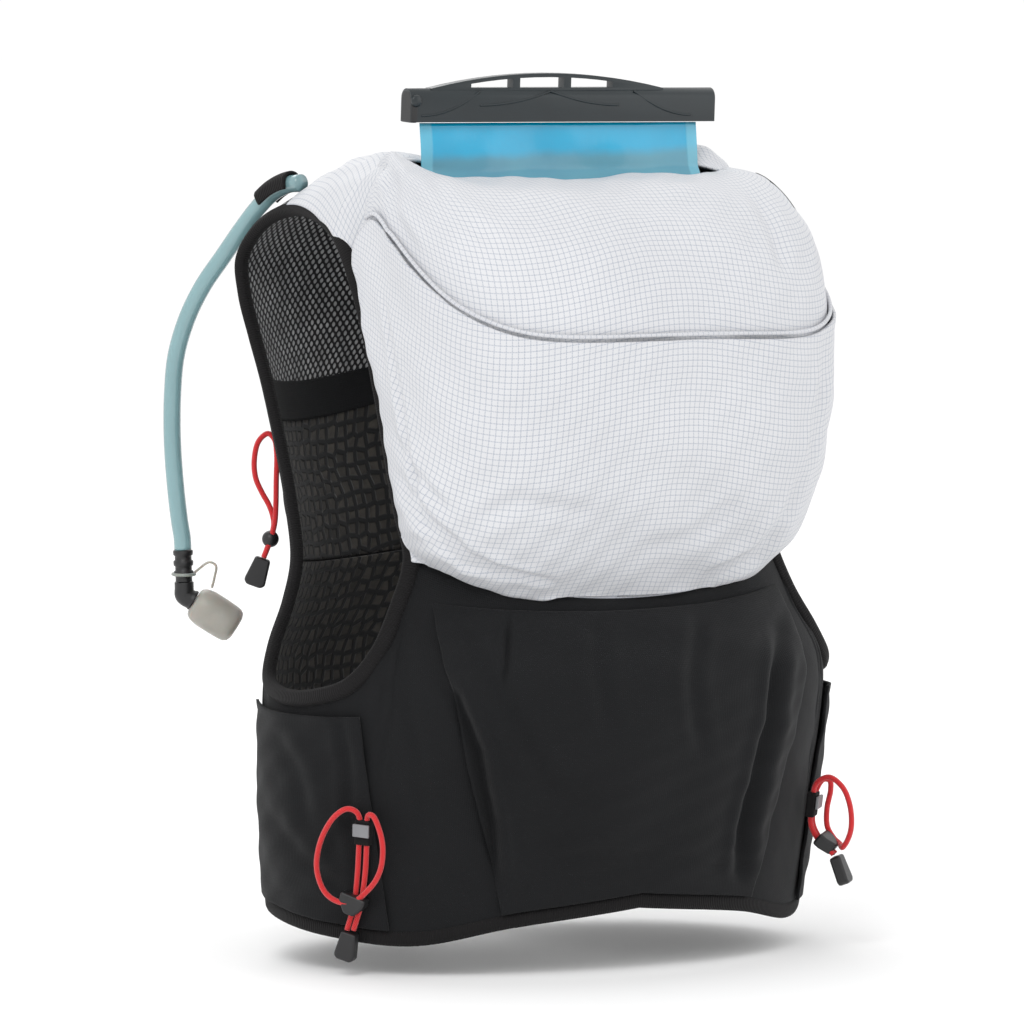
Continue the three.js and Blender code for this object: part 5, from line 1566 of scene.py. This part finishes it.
def basis(x, y, z, origin):
    matrix = np.eye(4)
    matrix[:3, 0] = x
    matrix[:3, 1] = y
    matrix[:3, 2] = z
    matrix[:3, 3] = origin
    return matrix


def waist_place(label, side):
    """Axes at a keeper: onward round the body, down the cloth and out from it."""
    angle = WAIST_TURN[label] * np.pi * side
    height = -WAIST_DOWN * LENGTH
    onward = torso(angle + 0.02, height) - torso(angle - 0.02, height)
    onward = unit(onward * np.array([1, 1, 0]))
    outward = np.array([onward[1], -onward[0], 0])
    lean = unit(torso(angle, height - 10) - torso(angle, height + 10))
    return basis(onward, lean, outward, torso(angle, height) + outward * KEEPER_SEAT)


def chest_place():
    seat = mirrored(strap_point(7.75, 0.2), -1)
    return basis((0.5, 0.866, 0), (0, 0, -1), (-0.866, 0.5, 0), seat)


def hardware_matrix(centre, up, facing):
    up = unit(np.asarray(up, dtype=float))
    away = unit(facing - up * np.dot(facing, up))
    return basis(np.cross(up, away), up, away, centre)


def turned_by(place, direction):
    return unit(place[:3, :3] @ np.asarray(direction, dtype=float))


def box_outline(width, height):
    x = width / 2
    y = height / 2
    return ((-x, -y), (x, -y), (x, y), (-x, y))


class VEST_OT_cords(bpy.types.Operator):
    """Elastic cords at the waist and the chest, with their keepers, hooks and ends"""

    bl_idname = "vest.cords"
    bl_label = "Elastic cords"

    def execute(self, context):
        for label, side in SIDES:
            self.add_waist(label, side)
        self.add_chest()
        self.add_tie()
        return {"FINISHED"}

    def add_waist(self, label, side):
        """A loop at the waist with its keeper, the keeper's band, its hook and its end."""
        place = waist_place(label, side)
        path = spline(placed(place, WAIST_ROUTES[label]), 240)
        cord = add_tube(f"waist_loop_{label}", path, CORD_DIAMETER, 16)
        dress(cord, "red_elastic", f"waist_cord_{label}")
        hook_at, hook_up, end_at, end_up = WAIST_HARDWARE[label]
        rise = (0, -1, 0)
        hardware = (
            ("keeper", "cord_keeper", "binding", box_outline(9, 14), 5.2, 1.2, (0, 6.5, 3.0), rise),
            ("keeper_strip", "keeper_band", "grey_band", box_outline(9.4, 7), 1.6, 0.5, (0, 5.5, 6.7), rise),
            ("hook", "cord_hook", "black_plastic", HOOK, 7.5, 1.4, hook_at, hook_up),
            ("tip", "cord_end", "black_plastic", CORD_END, 6.5, 1.3, end_at, end_up),
        )
        for name, node, look, outline, depth, bevel, at, up in hardware:
            matrix = hardware_matrix(placed(place, at), turned_by(place, up), place[:3, 2])
            piece = add_slab(f"{name}_{label}", outline, depth, matrix, bevel)
            dress(piece, look, f"{node}_{label}")

    def add_chest(self):
        """A loop over the chest with its round lock and its end."""
        place = chest_place()
        path = spline(placed(place, CHEST_ROUTE), 160)
        cord = dress(add_tube("chest_loop", path, CORD_DIAMETER, 16), "red_elastic", "chest_cord")
        turn = np.linspace(0.02, np.pi - 0.02, 20)
        profile = np.column_stack([4.6 * np.sin(turn), -4.6 * np.cos(turn)])
        centre = placed(place, (-4, 51, 7.8))
        hook = add_turned("chest_lock", profile, centre, turned_by(place, (0, 1, 0.3)), 32)
        dress(hook, "black_plastic", "chest_hook")
        seat = placed(place, (-4, 61.5, 11.7))
        matrix = hardware_matrix(seat, turned_by(place, (0, -0.94, -0.34)), turned_by(place, (-1, 0, 0)))
        end = dress(add_slab("chest_tip", CORD_END, 6.5, matrix, 1.3), "black_plastic", "chest_cord_end")

    def add_tie(self):
        """The plain tie that holds the two fronts."""
        out = np.array([0, SPACED_MESH / 2 + LAYER_GAP + CORD_DIAMETER / 2, 0])
        half = strap_point(7.8, np.array([0.5, 0.68, 0.94])) + out
        half[2, 1] = strap_inner(7.8)[1] + (BINDING_THICKNESS + CORD_DIAMETER) / 2 + LAYER_GAP
        tie = spline(np.concatenate([mirrored(half, -1), half[::-1]]), 100)
        dress(add_tube("front_tie", tie, CORD_DIAMETER, 16), "red_elastic", "chest_tie")


class VEST_OT_zip(bpy.types.Operator):
    """Side zip with its slider, cord pull and tab"""

    bl_idname = "vest.zip"
    bl_label = "Side zip"

    def execute(self, context):
        up = np.linspace(0.72, 0.93, 60)[None]
        place = np.linspace(0.645, 0.705, 12)[:, None]
        strip = add_cloth("zip_strip", pack_point(place, up), PACK_CENTRE, 2.2, -0.6)
        dress(strip, "black_cloth", "zip_tape")
        low, high = (np.array(corner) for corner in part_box("zip_slider"))
        centre = (low + high) / 2 / MM
        seat = pack_point(0.675, 0.745)
        outward = unit((seat - PACK_CENTRE) * np.array([1, 1, 0]))
        upward = unit(pack_point(0.675, 0.78) - pack_point(0.675, 0.73))
        matrix = hardware_matrix(centre, upward, outward)
        dress(add_slab("zip_runner", box_outline(5, 9), 3, matrix, 0.8), "black_plastic", "zip_slider")
        start = centre + outward * (1.5 + ZIP_CORD_DIAMETER / 2 + BUTT_GAP)
        offsets = np.array([(0, 2), (0.6, -3), (1, -12), (1.2, -24), (1.2, -38)], dtype=float)
        route = start + offsets[:, :1] * outward + offsets[:, 1:] * np.array([0, 0, 1.0])
        path = spline(route, 60)
        cord = dress(add_tube("zip_cord", path, ZIP_CORD_DIAMETER, 14), "black_cord", "zip_pull_cord")
        matrix = hardware_matrix(route[-1] + np.array([0, 0, -BUTT_GAP]), (0, 0, 1), outward)
        end = dress(add_slab("zip_tab", ZIP_TAB, 3.4, matrix, 0.8), "black_plastic", "zip_pull_tab")
        return {"FINISHED"}


# Stage


FLOOR_HEIGHT = -412
FLOOR_REACH = 6000
FRAME_PIXELS = 1024
LENS = 500
SENSOR_WIDTH = 36
CLIP_END = 50

# Lamps: a name, a place and a size in metres, and a power in watts
LAMPS = (
    ("Key", (-1.5, -1.4, 1.7), 1.0, 20.0),
    ("Fill", (1.6, -1.6, 0.6), 1.4, 3.0),
    ("Back", (0.3, 1.6, 1.3), 1.2, 8.0),
)
LAMP_TARGET = Vector((0, 0, -0.17))


class VEST_OT_stage(bpy.types.Operator):
    """Floor, lights and camera"""

    bl_idname = "vest.stage"
    bl_label = "Stage"

    def execute(self, context):
        scene = context.scene
        scene.view_settings.view_transform = "Standard"
        self.add_floor()
        world = bpy.data.worlds.new("Studio")
        scene.world = world
        world.use_nodes = True
        background = world.node_tree.nodes["Background"]
        background.inputs["Color"].default_value = (1, 1, 1, 1)
        background.inputs["Strength"].default_value = 1.02
        for name, at, size, power in LAMPS:
            data = bpy.data.lights.new(name, "AREA")
            data.size = size
            data.energy = power
            lamp = bpy.data.objects.new(name, data)
            lamp.location = at
            lamp.rotation_euler = (LAMP_TARGET - Vector(at)).to_track_quat("-Z", "Y").to_euler()
            scene.collection.objects.link(lamp)
        self.add_camera(scene)
        return {"FINISHED"}

    def add_floor(self):
        signs = ((-1, -1), (1, -1), (1, 1), (-1, 1))
        corners = [(x * FLOOR_REACH, y * FLOOR_REACH, FLOOR_HEIGHT) for x, y in signs]
        floor = add_object("floor", corners, [(0, 1, 2, 3)])
        pale = Finish("Floor", Roughness=0.9)
        shade = pale.noise(pale.place("Object"), 2.0, 1.0)
        pale.set("Base Color", pale.mix(shade, (0.985, 0.985, 0.985), (0.995, 0.995, 0.995)))
        floor.data.materials.append(pale.material)

    def add_camera(self, scene):
        """A camera with the photograph's view, as far away as its long lens needs."""
        data = bpy.data.cameras.new("Camera")
        data.lens = LENS
        data.sensor_width = SENSOR_WIDTH
        data.clip_end = CLIP_END
        camera = bpy.data.objects.new("Camera", data)
        scene.collection.objects.link(camera)
        distance = FRAME_PIXELS * PIXEL * MM * data.lens / data.sensor_width
        middle = FRAME_PIXELS // 2
        across = VIEW_RIGHT * (middle - ORIGIN_PIXEL[0])
        centre = (across - VIEW_UP * (middle - ORIGIN_PIXEL[1])) * PIXEL * MM
        back = unit(VIEW_BACK)
        right = unit(VIEW_RIGHT)
        matrix = basis(right, np.cross(back, right), back, centre + back * distance)
        camera.matrix_world = Matrix(matrix.tolist())
        scene.camera = camera


OPERATORS = (
    VEST_OT_stage,
    VEST_OT_hose,
    VEST_OT_cords,
    VEST_OT_zip,
    VEST_OT_body,
    VEST_OT_straps,
    VEST_OT_bindings,
    VEST_OT_pack,
    VEST_OT_bladder,
)


class VEST_PT_panel(bpy.types.Panel):
    bl_label = "Running vest"
    bl_idname = "VEST_PT_panel"
    bl_space_type = "VIEW_3D"
    bl_region_type = "UI"
    bl_category = "Vest"

    def draw(self, context):
        for name in VestSettings.__annotations__:
            self.layout.prop(context.scene.vest_settings, name)
        for operator in OPERATORS:
            self.layout.operator(operator.bl_idname)


def register():
    for entry in (VestSettings, *OPERATORS, VEST_PT_panel):
        bpy.utils.register_class(entry)
    bpy.types.Scene.vest_settings = bpy.props.PointerProperty(type=VestSettings)


def unregister():
    del bpy.types.Scene.vest_settings
    for entry in (VEST_PT_panel, *OPERATORS[::-1], VestSettings):
        bpy.utils.unregister_class(entry)


def main():
    register()
    make_materials(settings())
    for operator in OPERATORS:
        group, name = operator.bl_idname.split(".")
        getattr(getattr(bpy.ops, group), name)()


if __name__ == "__main__":
    main()
